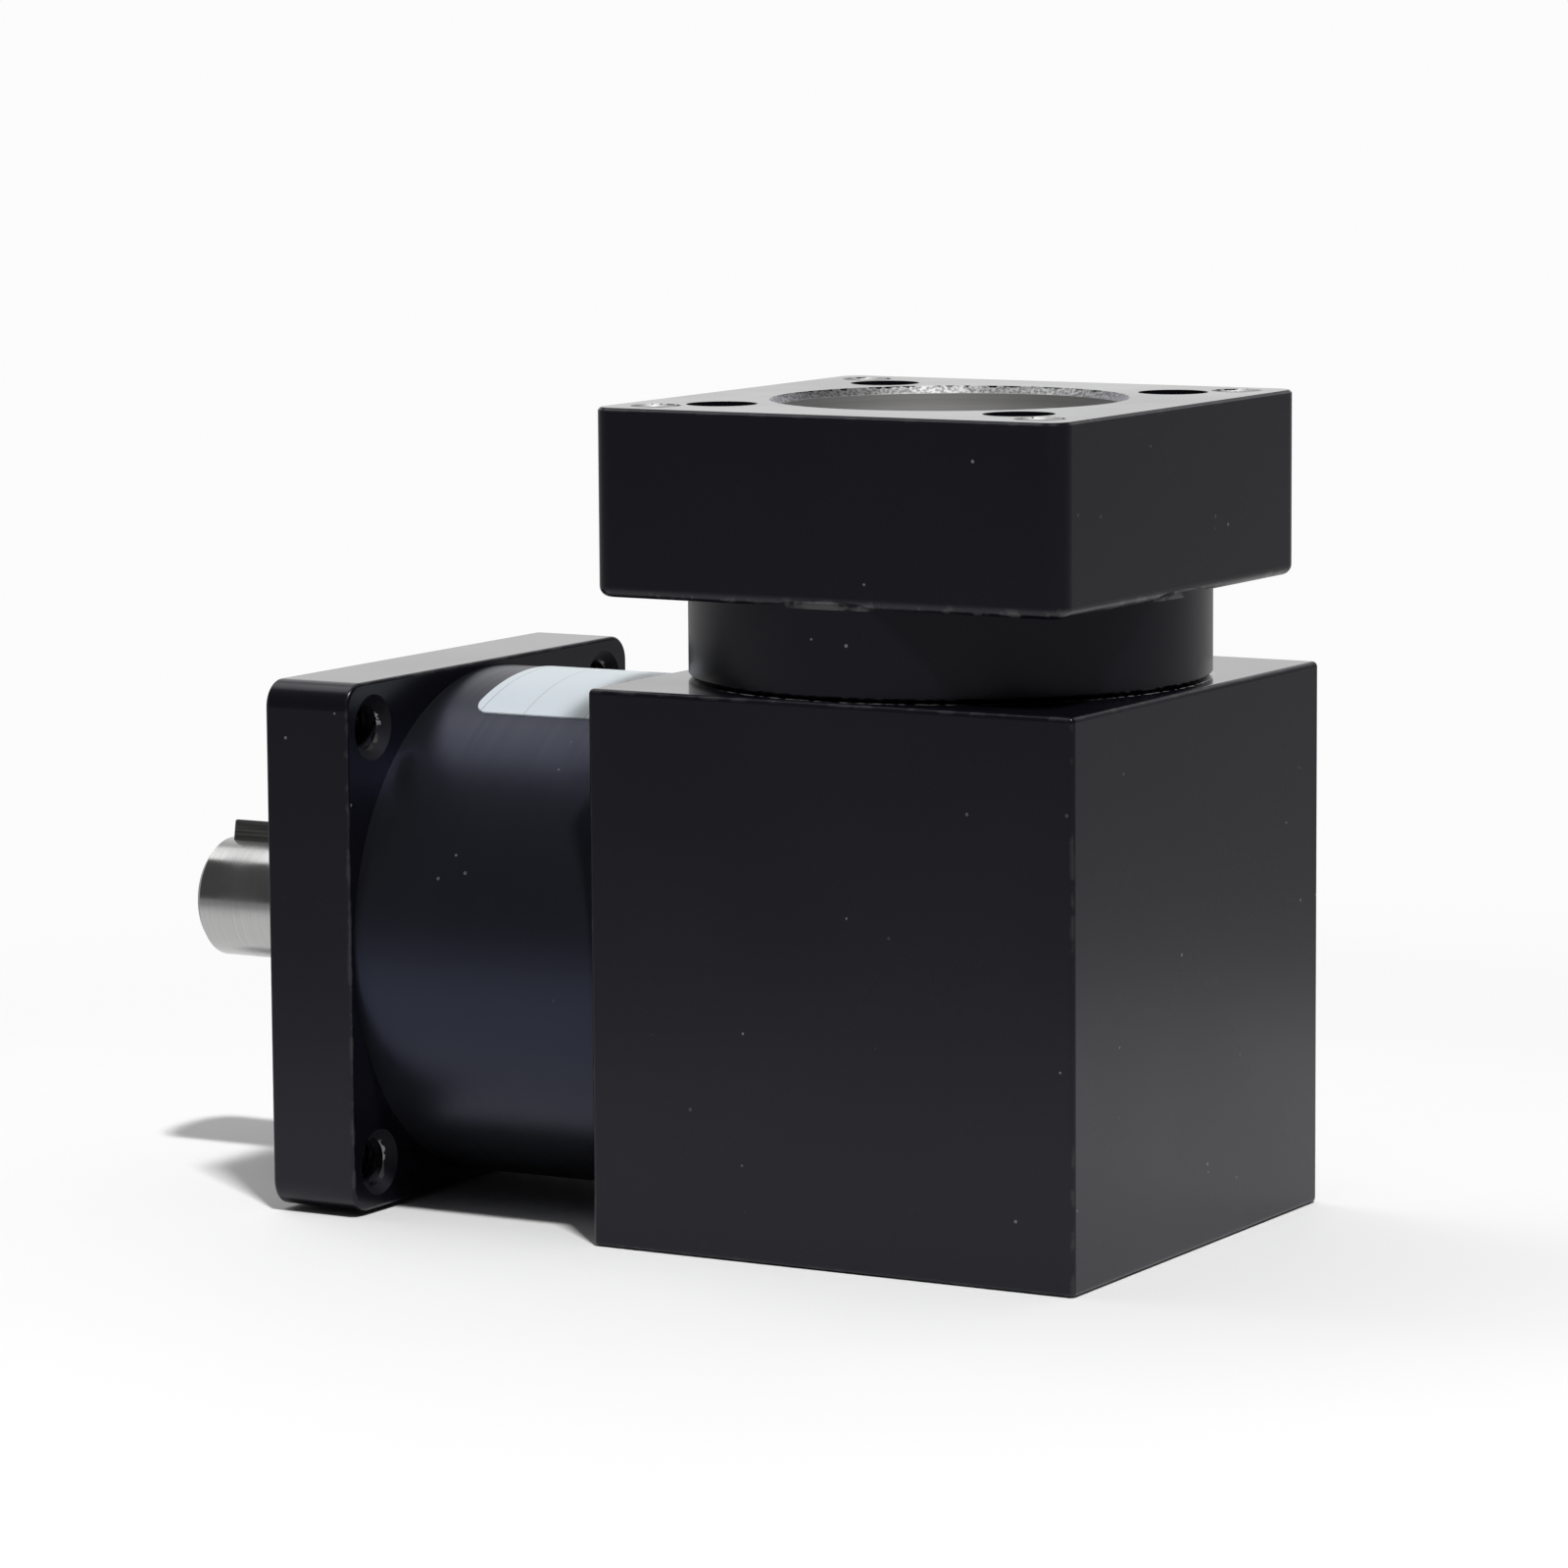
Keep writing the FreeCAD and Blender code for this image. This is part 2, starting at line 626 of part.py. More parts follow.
def motor_flange():
    half = motor_plate_size / 2
    plate = block(point(input_x - half, -half, plate_bottom), point(input_x + half, half, motor_face))
    plate = plate.makeFillet(motor_corner_radius, edges_along(plate, Z))
    plate = plate.makeFillet(motor_edge_radius, edges_at(plate, Z, plate_bottom))
    plate = plate.makeChamfer(motor_rim_chamfer, edges_at(plate, Z, motor_face))
    neck_top = plate_bottom + motor_edge_radius
    neck = turned_z([
        (neck_top, 0), (neck_top, neck_d / 2 - neck_chamfer), (neck_top - neck_chamfer, neck_d / 2),
        (housing_rise + neck_chamfer, neck_d / 2), (housing_rise, neck_d / 2 - neck_chamfer),
        (housing_rise, motor_spigot_radius), (lower_start, motor_spigot_radius), (lower_start, 0),
    ])
    body = plate.fuse(neck)
    middle = input_od / 2 - shoulder_height
    body = body.cut(rod_z(input_od / 2, lower_start, lower_end))
    body = body.cut(rod_z(middle, lower_end, upper_start))
    body = body.cut(rod_z(input_od / 2, upper_start, quill_start))
    body = body.cut(rod_z(input_od / 2 + circlip_depth, upper_end, circlip_top))
    body = body.cut(rod_z(clamp_room_d / 2, quill_start, pilot_floor))
    body = body.cut(rod_z(motor_pilot_d / 2, pilot_floor, motor_face))
    mouth = Part.makeCone(motor_pilot_d / 2, motor_pilot_d / 2 + motor_pilot_chamfer, motor_pilot_chamfer,
                          point(input_x, 0, motor_face - motor_pilot_chamfer), Z)
    body = body.cut(mouth)
    low, high = o_ring_groove(input_ring_station())
    body = body.cut(tube_z(motor_spigot_radius - o_ring_d, motor_spigot_radius, low, high))
    sink = (motor_sink_d - motor_hole_d) / 2
    for x, y in cross_places(motor_hole_spacing / math.sqrt(2)):
        hole = rod_z(motor_hole_d / 2, plate_bottom, motor_face, input_x + x, y)
        mouth = Part.makeCone(motor_hole_d / 2, motor_sink_d / 2, sink,
                              point(input_x + x, y, motor_face - sink), Z)
        body = body.cut(hole.fuse(mouth))
    head_radius = (screw_head_d + head_clearance) / 2
    floor = plate_bottom + motor_screw_floor
    for x, y in cross_places(motor_screw_radius):
        body = body.cut(rod_z(head_radius, floor, motor_face, input_x + x, y))
        body = body.cut(rod_z(screw_hole_d / 2, housing_rise, floor, input_x + x, y))
    x = input_x + clamp_screw_offset
    body = body.cut(rod_y(plug_d / 2, -half, plug_inset + plug_length - half, x, collar_middle))
    body = body.cut(rod_y(key_path_d / 2, -half, 0, x, collar_middle))
    return body.removeSplitter()


def input_ring_station():
    """Middle of the O-ring between motor flange and angle housing."""
    return (lower_start + housing_rise) / 2


def output_seal():
    """Lip seal: metal-backed ring, inner lip that rubs on the shaft, open to the inside."""
    lip = front_bore / 2 + run_gap
    web = seal_width / 4
    wall = (seal_od - front_bore) / 8
    return turned_x([
        (seal_front, lip), (seal_front, seal_od / 2), (seal_back, seal_od / 2),
        (seal_back, seal_od / 2 - wall), (seal_front - web, seal_od / 2 - wall),
        (seal_front - web, lip + 2 * wall), (seal_back + web, lip + wall),
        (seal_back + web, lip),
    ])


def o_ring(radius, upright, station):
    """O-ring resting in a groove that is cut into a spigot of the given radius."""
    centre = point(input_x, 0, station) if upright else point(station, 0, 0)
    section = (o_ring_d - o_ring_slack) / 2
    return Part.makeTorus(radius - o_ring_d / 2, section, centre, Z if upright else X)


def label():
    """Thin sticker bent round the barrel, its corners rounded."""
    outer = barrel_radius + label_thickness
    start = -flange_thickness - label_setback
    band = tube_x(barrel_radius, outer, start - label_length, start)
    half = outer * math.sin(math.radians(label_span / 2))
    sheet = block(point(start - label_length, -half, 0), point(start, half, 2 * outer))
    sheet = sheet.makeFillet(label_corner, edges_along(sheet, Z))
    sheet.rotate(ORIGIN, X, label_start + label_span / 2 - 90)
    return band.common(sheet)


def access_plug():
    half = motor_plate_size / 2
    x = input_x + clamp_screw_offset
    body = rod_y(plug_d / 2, plug_inset - half, plug_inset + plug_length - half, x, collar_middle)
    floor = point(x, plug_length / 2 - half, collar_middle)
    return body.cut(facing_minus_y(hexagon(small_socket, plug_length), floor))


# Turning pieces on the output axis

def output_carrier():
    rear_shoulder = rear_bore / 2 + collar_height
    body = turned_x([
        (shaft_reach, 0), (shaft_reach, shaft_d / 2 - shaft_chamfer),
        (shaft_reach - shaft_chamfer, shaft_d / 2), (pilot_height, shaft_d / 2),
        (pilot_height, front_bore / 2), (front_end, front_bore / 2),
        (front_end, rear_bore / 2), (rear_end, rear_bore / 2),
        (rear_end, rear_shoulder), (carrier_start, rear_shoulder),
        (carrier_start, carrier_radius), (carrier_end, carrier_radius), (carrier_end, 0),
    ])
    body = body.cut(rod_x(sun_tip_radius + sun_gap, carrier_end, pocket_start))
    for y, z in planet_places():
        body = body.cut(rod_x(planet_tip_radius + pocket_gap, pocket_end, pocket_start, y, z))
        body = body.cut(rod_x(pin_d / 2, carrier_end, pocket_start + pin_seat, y, z))
    centre_hole = rod_x(centre_hole_d / 2, shaft_reach - centre_hole_depth, shaft_reach)
    sink = (centre_sink_d - centre_hole_d) / 2
    mouth = Part.makeCone(centre_hole_d / 2, centre_sink_d / 2, sink, point(shaft_reach - sink, 0, 0), X)
    body = body.cut(centre_hole.fuse(mouth))
    return body.cut(key_prism(key_height + shaft_d))


def key_prism(height):
    """Prism of the shaft key's outline, from the keyway's floor outwards."""
    nose = shaft_reach - key_setback
    tail = nose - key_length
    half = key_width / 2
    floor = shaft_d / 2 - key_sink
    bar = block(point(tail, -half, floor), point(nose, half, floor + height))
    bar = bar.makeFillet(key_corner, edges_along(bar, Z))
    bar.rotate(ORIGIN, X, key_turn)
    return bar


def planet_angles():
    """Places on the orbit where sun and ring teeth both let a planet in."""
    slots = sun_teeth + ring_teeth
    steps = [round(number * slots / planet_count) for number in range(planet_count)]
    return [math.pi / 2 + 2 * math.pi * step / slots for step in steps]


def planet_places():
    return [(orbit_radius * math.cos(a), orbit_radius * math.sin(a)) for a in planet_angles()]


def planet_turn(angle):
    """First tooth's angle of a planet, in mesh with a ring gear space at angle 0."""
    return angle * (1 - ring_teeth / planet_teeth)


def sun_turn():
    """First tooth's angle of the sun, in mesh with the first planet."""
    angle = planet_angles()[0]
    phase = planet_teeth * (angle + math.pi - planet_turn(angle))
    return angle - (math.pi - phase) / sun_teeth


def planet_pins():
    pins = [rod_x(pin_d / 2, carrier_end, pocket_start + pin_seat, y, z) for y, z in planet_places()]
    return Part.makeCompound(pins)


def planet_washers():
    rings = []
    for y, z in planet_places():
        for start in (pocket_start - washer_thickness, pocket_end):
            end = start + washer_thickness
            disc = rod_x(planet_bore_radius + needle_d / 4, start, end, y, z)
            rings.append(disc.cut(rod_x(pin_d / 2, start, end, y, z)))
    return Part.makeCompound(rings)


def planet_gear(angle, place):
    root = gear_module * (planet_teeth / 2 - 1.25)
    body = spur_solid(planet_teeth, root, planet_tip_radius, -backlash / 2, planet_turn(angle),
                      planet_start, planet_end, place)
    return body.cut(rod_x(planet_bore_radius, planet_end, planet_start, *place))


def planet_needles(place):
    rollers = []
    track = pin_d / 2 + roll_gap + needle_d / 2
    middle = (planet_start + planet_end) / 2
    for number in range(needle_count):
        turn = 2 * math.pi * number / needle_count
        y = place[0] + track * math.cos(turn)
        z = place[1] + track * math.sin(turn)
        rollers.append(rod_x(needle_d / 2, middle - needle_length / 2, middle + needle_length / 2, y, z))
    return Part.makeCompound(rollers)


def sun_shaft():
    gear_end = pocket_end
    teeth = spur_solid(sun_teeth, sun_root_radius, sun_tip_radius, -backlash / 2, sun_turn(),
                       planet_start, gear_end)
    gear_front = input_x + bevel_front
    stub_end = gear_front - nut_height - nut_overrun
    shoulder = sun_bore / 2 + collar_height
    stem = turned_x([
        (gear_end, 0), (gear_end, min(shoulder, sun_root_radius)),
        (housing_front, min(shoulder, sun_root_radius)), (housing_front, sun_bore / 2),
        (gear_front, sun_bore / 2), (gear_front, nut_d / 2), (stub_end, nut_d / 2), (stub_end, 0),
    ])
    return teeth.fuse(stem).cut(bevel_key_block())


def bevel_key_block():
    """Small key between sun shaft and driven bevel gear."""
    middle = input_x + (bevel_back + bevel_front) / 2
    half = bevel_key_width / 2
    floor = sun_bore / 2 - bevel_key_sink
    return block(point(middle - bevel_key_length / 2, -half, floor),
                 point(middle + bevel_key_length / 2, half, floor + bevel_key_height))


def bevel_gear():
    """Driven gear: its cone opens along +X, a tooth points straight up at the pinion."""
    gear = mitre_gear(0.0)
    gear.rotate(ORIGIN, X + Z, 180)
    gear.translate(APEX)
    hub = rod_x(sun_bore / 2 + collar_height, input_x + bevel_back, cartridge_end)
    body = gear.fuse(hub).cut(rod_x(sun_bore / 2, input_x + bevel_front, cartridge_end))
    return body.cut(bevel_key_block())


def bevel_nut():
    start = input_x + bevel_front - nut_height
    body = facing_x(hexagon(nut_flats, nut_height), point(start, 0, 0))
    return body.cut(rod_x(nut_d / 2, start, start + nut_height))


# Turning pieces on the input axis

def input_pinion():
    """Bevel pinion, hollow shaft and split hub in one piece: a space faces the driven gear."""
    gear = moved(mitre_gear(math.pi / bevel_teeth), APEX)
    groove = input_bore / 2 - circlip_depth
    shaft = turned_z([
        (bevel_back, 0), (bevel_back, input_bore / 2 + collar_height),
        (lower_start, input_bore / 2 + collar_height), (lower_start, input_bore / 2),
        (upper_end, input_bore / 2), (upper_end, groove), (circlip_top, groove),
        (circlip_top, input_bore / 2), (quill_start, input_bore / 2),
        (quill_start, quill_radius), (hub_top, quill_radius), (hub_top, 0),
    ])
    body = gear.fuse(shaft)
    body = body.cut(rod_z(motor_shaft_d / 2, hub_top - motor_shaft_depth, hub_top))
    split_foot = hub_top - split_length
    for across in (X, Y):
        along = X + Y - across
        reach = across * (split_width / 2) + along * quill_radius
        body = body.cut(block(APEX - reach + Z * split_foot, APEX + reach + Z * hub_top))
    return body


def clamp_collar():
    body = tube_z(quill_radius, collar_d / 2, collar_bottom, collar_top)
    body = body.cut(block(point(input_x, -collar_gap / 2, collar_bottom),
                          point(input_x + collar_d / 2, collar_gap / 2, collar_top)))
    x = input_x + clamp_screw_offset
    head_radius = (small_head_d + screw_clearance) / 2
    body = body.cut(rod_y(head_radius, -collar_d, -clamp_head_seat, x, collar_middle))
    return body.cut(rod_y(clamp_screw_d / 2, -clamp_head_seat, clamp_screw_length - clamp_head_seat,
                          x, collar_middle))


def clamp_screw():
    screw = cap_screw(clamp_screw_d, small_head_d, small_head_height, clamp_screw_length, small_socket)
    return facing_minus_y(screw, point(input_x + clamp_screw_offset, -clamp_head_seat, collar_middle))


def circlip(inner, outer):
    """Open ring above the upper input bearing."""
    ring = tube_z(inner, outer, upper_end, circlip_top)
    half = circlip_mouth / 2
    mouth = block(point(input_x - outer, -half, upper_end), point(input_x, half, circlip_top))
    return ring.cut(mouth)


# Screw groups

def housing_screws():
    length = head_seat - housing_front + housing_screw_grip
    screw = cap_screw(screw_d, screw_head_d, screw_head_height, length, screw_socket)
    group = [facing_x(screw, point(head_seat, y, z)) for y, z in cross_places(through_screw_radius)]
    return Part.makeCompound(group)


def cartridge_screws():
    screw = cap_screw(small_screw_d, small_head_d, small_head_height, small_screw_length, small_socket)
    seat = cartridge_screw_seat()
    group = [facing_x(screw, point(seat, y, z)) for y, z in cross_places(cartridge_screw_radius)]
    return Part.makeCompound(group)


def motor_flange_screws():
    floor = plate_bottom + motor_screw_floor
    length = floor - housing_rise + motor_screw_grip
    screw = cap_screw(screw_d, screw_head_d, screw_head_height, length, screw_socket)
    group = [moved(screw, point(input_x + x, y, floor)) for x, y in cross_places(motor_screw_radius)]
    return Part.makeCompound(group)


def all_parts():
    parts = {
        "output_flange": output_flange(),
        "ring_gear": ring_gear(),
        "angle_housing": angle_housing(),
        "bearing_cartridge": bearing_cartridge(),
        "motor_flange": motor_flange(),
        "output_seal": output_seal(),
        "barrel_o_ring": o_ring(spigot_radius, False, barrel_ring_station()),
        "input_o_ring": o_ring(motor_spigot_radius, True, input_ring_station()),
        "label": label(),
        "access_plug": access_plug(),
        "housing_screws": housing_screws(),
        "cartridge_screws": cartridge_screws(),
        "motor_flange_screws": motor_flange_screws(),
        "output_carrier": output_carrier(),
        "output_key": key_prism(key_height),
        "planet_pins": planet_pins(),
        "planet_washers": planet_washers(),
        "sun_shaft": sun_shaft(),
        "sun_spacer": tube_x(sun_bore / 2, sun_bore / 2 + collar_height, sun_second, sun_mid),
        "bevel_gear": bevel_gear(),
        "bevel_key": bevel_key_block(),
        "bevel_nut": bevel_nut(),
        "input_pinion": input_pinion(),
        "clamp_collar": clamp_collar(),
        "clamp_screw": clamp_screw(),
        "input_bore_circlip": circlip(input_od / 2 - circlip_height, input_od / 2 + circlip_depth),
        "input_shaft_circlip": circlip(input_bore / 2 - circlip_depth, input_bore / 2 + circlip_height),
    }
    for number, angle in enumerate(planet_angles(), 1):
        place = (orbit_radius * math.cos(angle), orbit_radius * math.sin(angle))
        parts[f"planet_gear_{number}"] = planet_gear(angle, place)
        parts[f"planet_needles_{number}"] = planet_needles(place)
    bearings = {
        "output_front": bearing(front_bore, front_od, front_width, front_ball_d, False, front_end),
        "output_rear": bearing(rear_bore, rear_od, rear_width, rear_ball_d, False, rear_end),
        "sun_front": bearing(sun_bore, sun_od, sun_width, sun_ball_d, False, sun_mid),
        "sun_rear": bearing(sun_bore, sun_od, sun_width, sun_ball_d, False, cartridge_end),
        "input_lower": bearing(input_bore, input_od, input_width, input_ball_d, True, lower_start),
        "input_upper": bearing(input_bore, input_od, input_width, input_ball_d, True, upper_start),
    }
    for name, pieces in bearings.items():
        for piece, shape in pieces.items():
            parts[f"{name}_{piece}"] = shape
    return parts


os.makedirs("parts", exist_ok=True)
for node, shape in all_parts().items():
    shape.exportStep(f"parts/{node}.step")
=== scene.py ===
import json
import math

import bpy
from mathutils import Matrix, Vector


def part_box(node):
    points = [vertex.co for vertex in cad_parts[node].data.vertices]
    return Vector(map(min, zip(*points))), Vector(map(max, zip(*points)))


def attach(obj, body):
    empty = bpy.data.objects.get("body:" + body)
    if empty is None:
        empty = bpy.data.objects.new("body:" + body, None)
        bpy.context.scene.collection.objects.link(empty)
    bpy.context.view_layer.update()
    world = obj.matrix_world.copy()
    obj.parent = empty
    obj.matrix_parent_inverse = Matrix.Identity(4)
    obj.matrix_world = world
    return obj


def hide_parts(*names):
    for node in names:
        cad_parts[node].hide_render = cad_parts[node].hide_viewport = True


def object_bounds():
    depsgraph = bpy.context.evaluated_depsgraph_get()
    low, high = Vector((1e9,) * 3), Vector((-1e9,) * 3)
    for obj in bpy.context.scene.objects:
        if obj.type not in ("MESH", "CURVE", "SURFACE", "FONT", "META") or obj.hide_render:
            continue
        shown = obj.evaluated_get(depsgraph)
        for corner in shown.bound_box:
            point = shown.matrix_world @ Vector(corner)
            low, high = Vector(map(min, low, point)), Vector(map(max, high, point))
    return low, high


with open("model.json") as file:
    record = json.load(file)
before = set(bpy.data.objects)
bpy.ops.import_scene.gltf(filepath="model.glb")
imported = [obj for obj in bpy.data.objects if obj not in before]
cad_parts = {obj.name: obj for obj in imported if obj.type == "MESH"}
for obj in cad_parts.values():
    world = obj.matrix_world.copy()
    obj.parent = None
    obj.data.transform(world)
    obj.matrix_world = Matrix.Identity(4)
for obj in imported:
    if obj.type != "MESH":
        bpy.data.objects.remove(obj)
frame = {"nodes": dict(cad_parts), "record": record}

# Looks of a right-angle planetary gearbox: black casing, ground shaft, blank label.
# Metres, in the frame of the solids: +X out along the output shaft, +Z up the input axis.

MM = 0.001
cad_low, cad_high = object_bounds()
nodes = frame["nodes"]
mounts = {mount["name"]: mount for mount in frame["record"]["mounts"]}

# Camera, fitted to the photograph's edges
camera_place = Vector((-409.7, 623.7, 111.8)) * MM
camera_heading = 209.98         # degrees; 180 looks along -Y
camera_drop = 7.44              # degrees below the horizon
camera_roll = -0.40             # degrees
camera_reach = 20.0
focal_pixels = 6580.0
picture_pixels = 1600.0
sensor_width = 36.0

# Studio
key_direction = Vector((-0.330, 0.290, 0.898))
key_distance = 1.8
key_size = 0.135
key_watts = 26.5
top_direction = Vector((0.50, -0.09, 0.86))
top_distance = 0.8
top_size = 0.40
top_watts = 0.95
wall_side = Vector((0.50, -0.866, 0.0))     # the white wall, away from the camera
ceiling_side = Vector((0.30, -0.52, 0.80))  # where the soft light comes from
white_wall = 0.97               # and what the camera sees all round
dim_room = 0.10
soft_light = 0.46
soft_shade = 0.015
floor_radius = 3.0
sheet_radius = 0.12             # white sheet under the object, out to here
table_radius = 0.26             # and bare table from here
table_grey = 0.22

# Mounting faces
input_axis = Vector(mounts["motor_bolts"]["pos_m"])
motor_face = input_axis.z
motor_plate = 20.7 * MM         # thickness
motor_hole_offset = mounts["motor_bolts"]["dims"]["spacing_x_mm"] * MM / 2
pilot_radius = mounts["motor_pilot"]["dims"]["r_mm"] * MM
pilot_depth = 3.0 * MM
pilot_bevel = 0.8 * MM
flange_thickness = 11.0 * MM
mount_hole_offset = mounts["output_bolts"]["dims"]["pcd_mm"] * MM / 2 / math.sqrt(2)
mount_sink_radius = 3.75 * MM   # countersinks on the output flange's back

# Screws and threads
round_sides = 96                # of a turned ring
screw_head = 7.0 * MM
screw_head_height = 4.0 * MM
screw_head_round = 0.35 * MM
screw_head_sides = 48
screw_socket = 3.0 * MM
screw_shank = 4.0 * MM
screw_tip = 0.4 * MM
knurl_depth = 0.10 * MM
knurl_land = 0.09 * MM
thread_pitch = 0.8 * MM
thread_depth = 0.42 * MM
thread_bite = 0.12 * MM         # ridge sunk in the hole's wall
thread_steps = 28               # per turn
mount_thread_start = 1.2 * MM   # from the flange's back, inside the countersink
mount_thread_spare = 1.6 * MM   # room for the thread: this much less than the flange's thickness
motor_thread_start = 0.5 * MM   # from the plate's underside
motor_thread_spare = 1.5 * MM   # and this much less than the plate's

# Key and seal
key_width = 5.0 * MM
key_height = 5.0 * MM
key_floor = 4.0 * MM            # shaft axis to the keyway's floor
key_corner = 0.5 * MM
key_bevel = 0.25 * MM
key_turn = 10.0                 # degrees that the shaft stands turned from key on top
seal_lip = 8.55 * MM            # radius
seal_edge = 0.3 * MM
seal_groove = 0.5 * MM          # depth of the groove in the face
seal_groove_out = 1.3 * MM      # its outer wall, out from the seal's middle radius
seal_groove_in = 0.5 * MM       # its inner wall, in from there
seal_rib_in = 1.1 * MM          # inner edge of the rib inside the groove, in from there too
seal_rib_drop = 0.1 * MM        # rib below the face
seal_flare = 0.5 * MM           # of the dust lip
hair = 0.01 * MM                # near enough to count as level

# Finishes
noise_low, noise_high = 0.3, 0.7            # most of a noise lies between these
anodised_black = (0.0028, 0.0028, 0.0052, 1)
anodised_grey = (0.0052, 0.0052, 0.0088, 1)
oxide_black = (0.0068, 0.0068, 0.0081, 1)
oxide_grey = (0.0120, 0.0121, 0.0143, 1)
bronze_dark = (0.44, 0.30, 0.14, 1)
bronze_light = (0.60, 0.44, 0.22, 1)
film_dark = (0.50, 0.56, 0.60, 1)
film_light = (0.56, 0.62, 0.66, 1)
rub_width = 0.6 * MM            # worn strip along the castings' edges
rub_strength = 0.3
foot_height = 1.0 * MM          # lower edge of the motor's plate: more wear, and a painted highlight along it
foot_wear_and_highlight_width = 0.7 * MM       # added there
foot_wear_and_highlight_strength = 0.7
block_skin = 0.05 * MM          # a casting's face may lie this far outside its block
milled_skin = 0.02 * MM         # depth of the milled top
bore_skin = 0.1 * MM            # bare metal reaches this far below the pilot's floor
seam_dust_and_glint_reach = 0.14 * MM          # dust and painted glints beside the neck's foot
bare_rim_radius = 2.85 * MM     # bare metal round each motor hole
bare_lip_radius = 2.86 * MM     # bare metal where a countersink meets its thread
chip_in, chip_out = 0.12 * MM, 0.20 * MM    # how far a bare edge wanders
label_rule = 1.2 * MM           # faint lines, in from the label's ends
label_rule_half = 0.09 * MM
label_divider = 7.0 * MM
label_divider_half = 0.07 * MM


# Modelling helpers

def start_clean():
    """Leave edit mode and select nothing."""
    if bpy.context.object and bpy.context.object.mode != "OBJECT":
        bpy.ops.object.mode_set(mode="OBJECT")
    bpy.ops.object.select_all(action="DESELECT")


def pick_nothing(obj, kind):
    """Clear an object's selection and set its select mode to a kind of element."""
    start_clean()
    bpy.context.view_layer.objects.active = obj
    bpy.ops.object.mode_set(mode="EDIT")
    bpy.ops.mesh.select_mode(type=kind)
    bpy.ops.mesh.select_all(action="DESELECT")
    bpy.ops.object.mode_set(mode="OBJECT")


def pick_edges(obj, wanted):
    """In edit mode, select the edges for which wanted(first end, second end) is true."""
    pick_nothing(obj, "EDGE")
    points = obj.data.vertices
    for edge in obj.data.edges:
        first, second = edge.vertices
        edge.select = bool(wanted(points[first].co, points[second].co))
    bpy.ops.object.mode_set(mode="EDIT")


def pick_faces(obj, wanted):
    """In edit mode, select the faces for which wanted(normal) is true."""
    pick_nothing(obj, "FACE")
    for face in obj.data.polygons:
        face.select = bool(wanted(face.normal))
    bpy.ops.object.mode_set(mode="EDIT")


def apply_modifier(obj, modifier):
    bpy.context.view_layer.objects.active = obj
    bpy.ops.object.modifier_apply(modifier=modifier.name)


def settle(obj):
    """Put an object's place into its mesh, so that the object sits at the origin."""
    start_clean()
    obj.select_set(True)
    bpy.context.view_layer.objects.active = obj
    bpy.ops.object.transform_apply(location=True, rotation=True, scale=True)


def smooth(obj, angle):
    """Smooth shading, with edges sharper than an angle in degrees left sharp."""
    start_clean()
    obj.select_set(True)
    bpy.context.view_layer.objects.active = obj
    bpy.ops.object.shade_smooth_by_angle(angle=math.radians(angle))


def tidy_normals(obj):
    """Merge doubles and turn all faces outwards."""
    start_clean()
    bpy.context.view_layer.objects.active = obj
    bpy.ops.object.mode_set(mode="EDIT")
    bpy.ops.mesh.select_all(action="SELECT")
    bpy.ops.mesh.remove_doubles(threshold=0.001 * MM)
    bpy.ops.mesh.normals_make_consistent(inside=False)
    bpy.ops.object.mode_set(mode="OBJECT")


def join_copies(name, model, places):
    """One piece at the origin: a model's copy at each place, given as a matrix. The model is used up."""
    copies = []
    for place in places:
        copy = model.copy()
        copy.data = model.data.copy()
        bpy.context.collection.objects.link(copy)
        copy.matrix_world = place
        copies.append(copy)
    bpy.data.objects.remove(model)
    start_clean()
    for copy in copies:
        copy.select_set(True)
    bpy.context.view_layer.objects.active = copies[0]
    bpy.ops.object.join()
    piece = bpy.context.object
    settle(piece)
    piece.name = name
    return piece


def finish_piece(piece, body, material):
    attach(piece, body)
    piece.data.materials.clear()
    piece.data.materials.append(material)


def diagonal_places(offset):
    return [(a * offset, b * offset) for a in (1, -1) for b in (1, -1)]


def facing_x(place):
    """Matrix that stands a piece made along Z along X."""
    return Matrix.Translation(place) @ Matrix.Rotation(math.radians(90), 4, "Y")


# Pieces

def cap_screw_model(length):
    """Socket head cap screw about Z, head's seat at the origin: knurled head, hexagon socket, plain shank."""
    start_clean()
    bpy.ops.mesh.primitive_cylinder_add(vertices=screw_head_sides, radius=screw_head / 2,
                                        depth=screw_head_height, location=(0, 0, screw_head_height / 2))
    screw = bpy.context.object
    settle(screw)
    pick_edges(screw, lambda a, b: min(a.z, b.z) > 0.9 * screw_head_height)
    bpy.ops.mesh.bevel(offset=screw_head_round, segments=3, affect="EDGES")
    pick_faces(screw, lambda normal: abs(normal.z) < 0.1)
    bpy.ops.mesh.inset(thickness=knurl_land, depth=-knurl_depth, use_individual=True)
    pick_faces(screw, lambda normal: normal.z < -0.9)
    bpy.ops.mesh.inset(thickness=(screw_head - screw_shank) / 2)
    bpy.ops.mesh.extrude_region_move(TRANSFORM_OT_translate={"value": (0, 0, -length)})
    bpy.ops.mesh.inset(thickness=screw_tip, depth=screw_tip)
    start_clean()
    bpy.ops.mesh.primitive_cylinder_add(vertices=6, radius=screw_socket / math.sqrt(3),
                                        depth=screw_head_height, location=(0, 0, screw_head_height))
    hexagon = bpy.context.object
    cut = screw.modifiers.new("socket", "BOOLEAN")
    cut.object = hexagon
    cut.solver = "EXACT"
    apply_modifier(screw, cut)
    bpy.data.objects.remove(hexagon)
    smooth(screw, 35)
    return screw


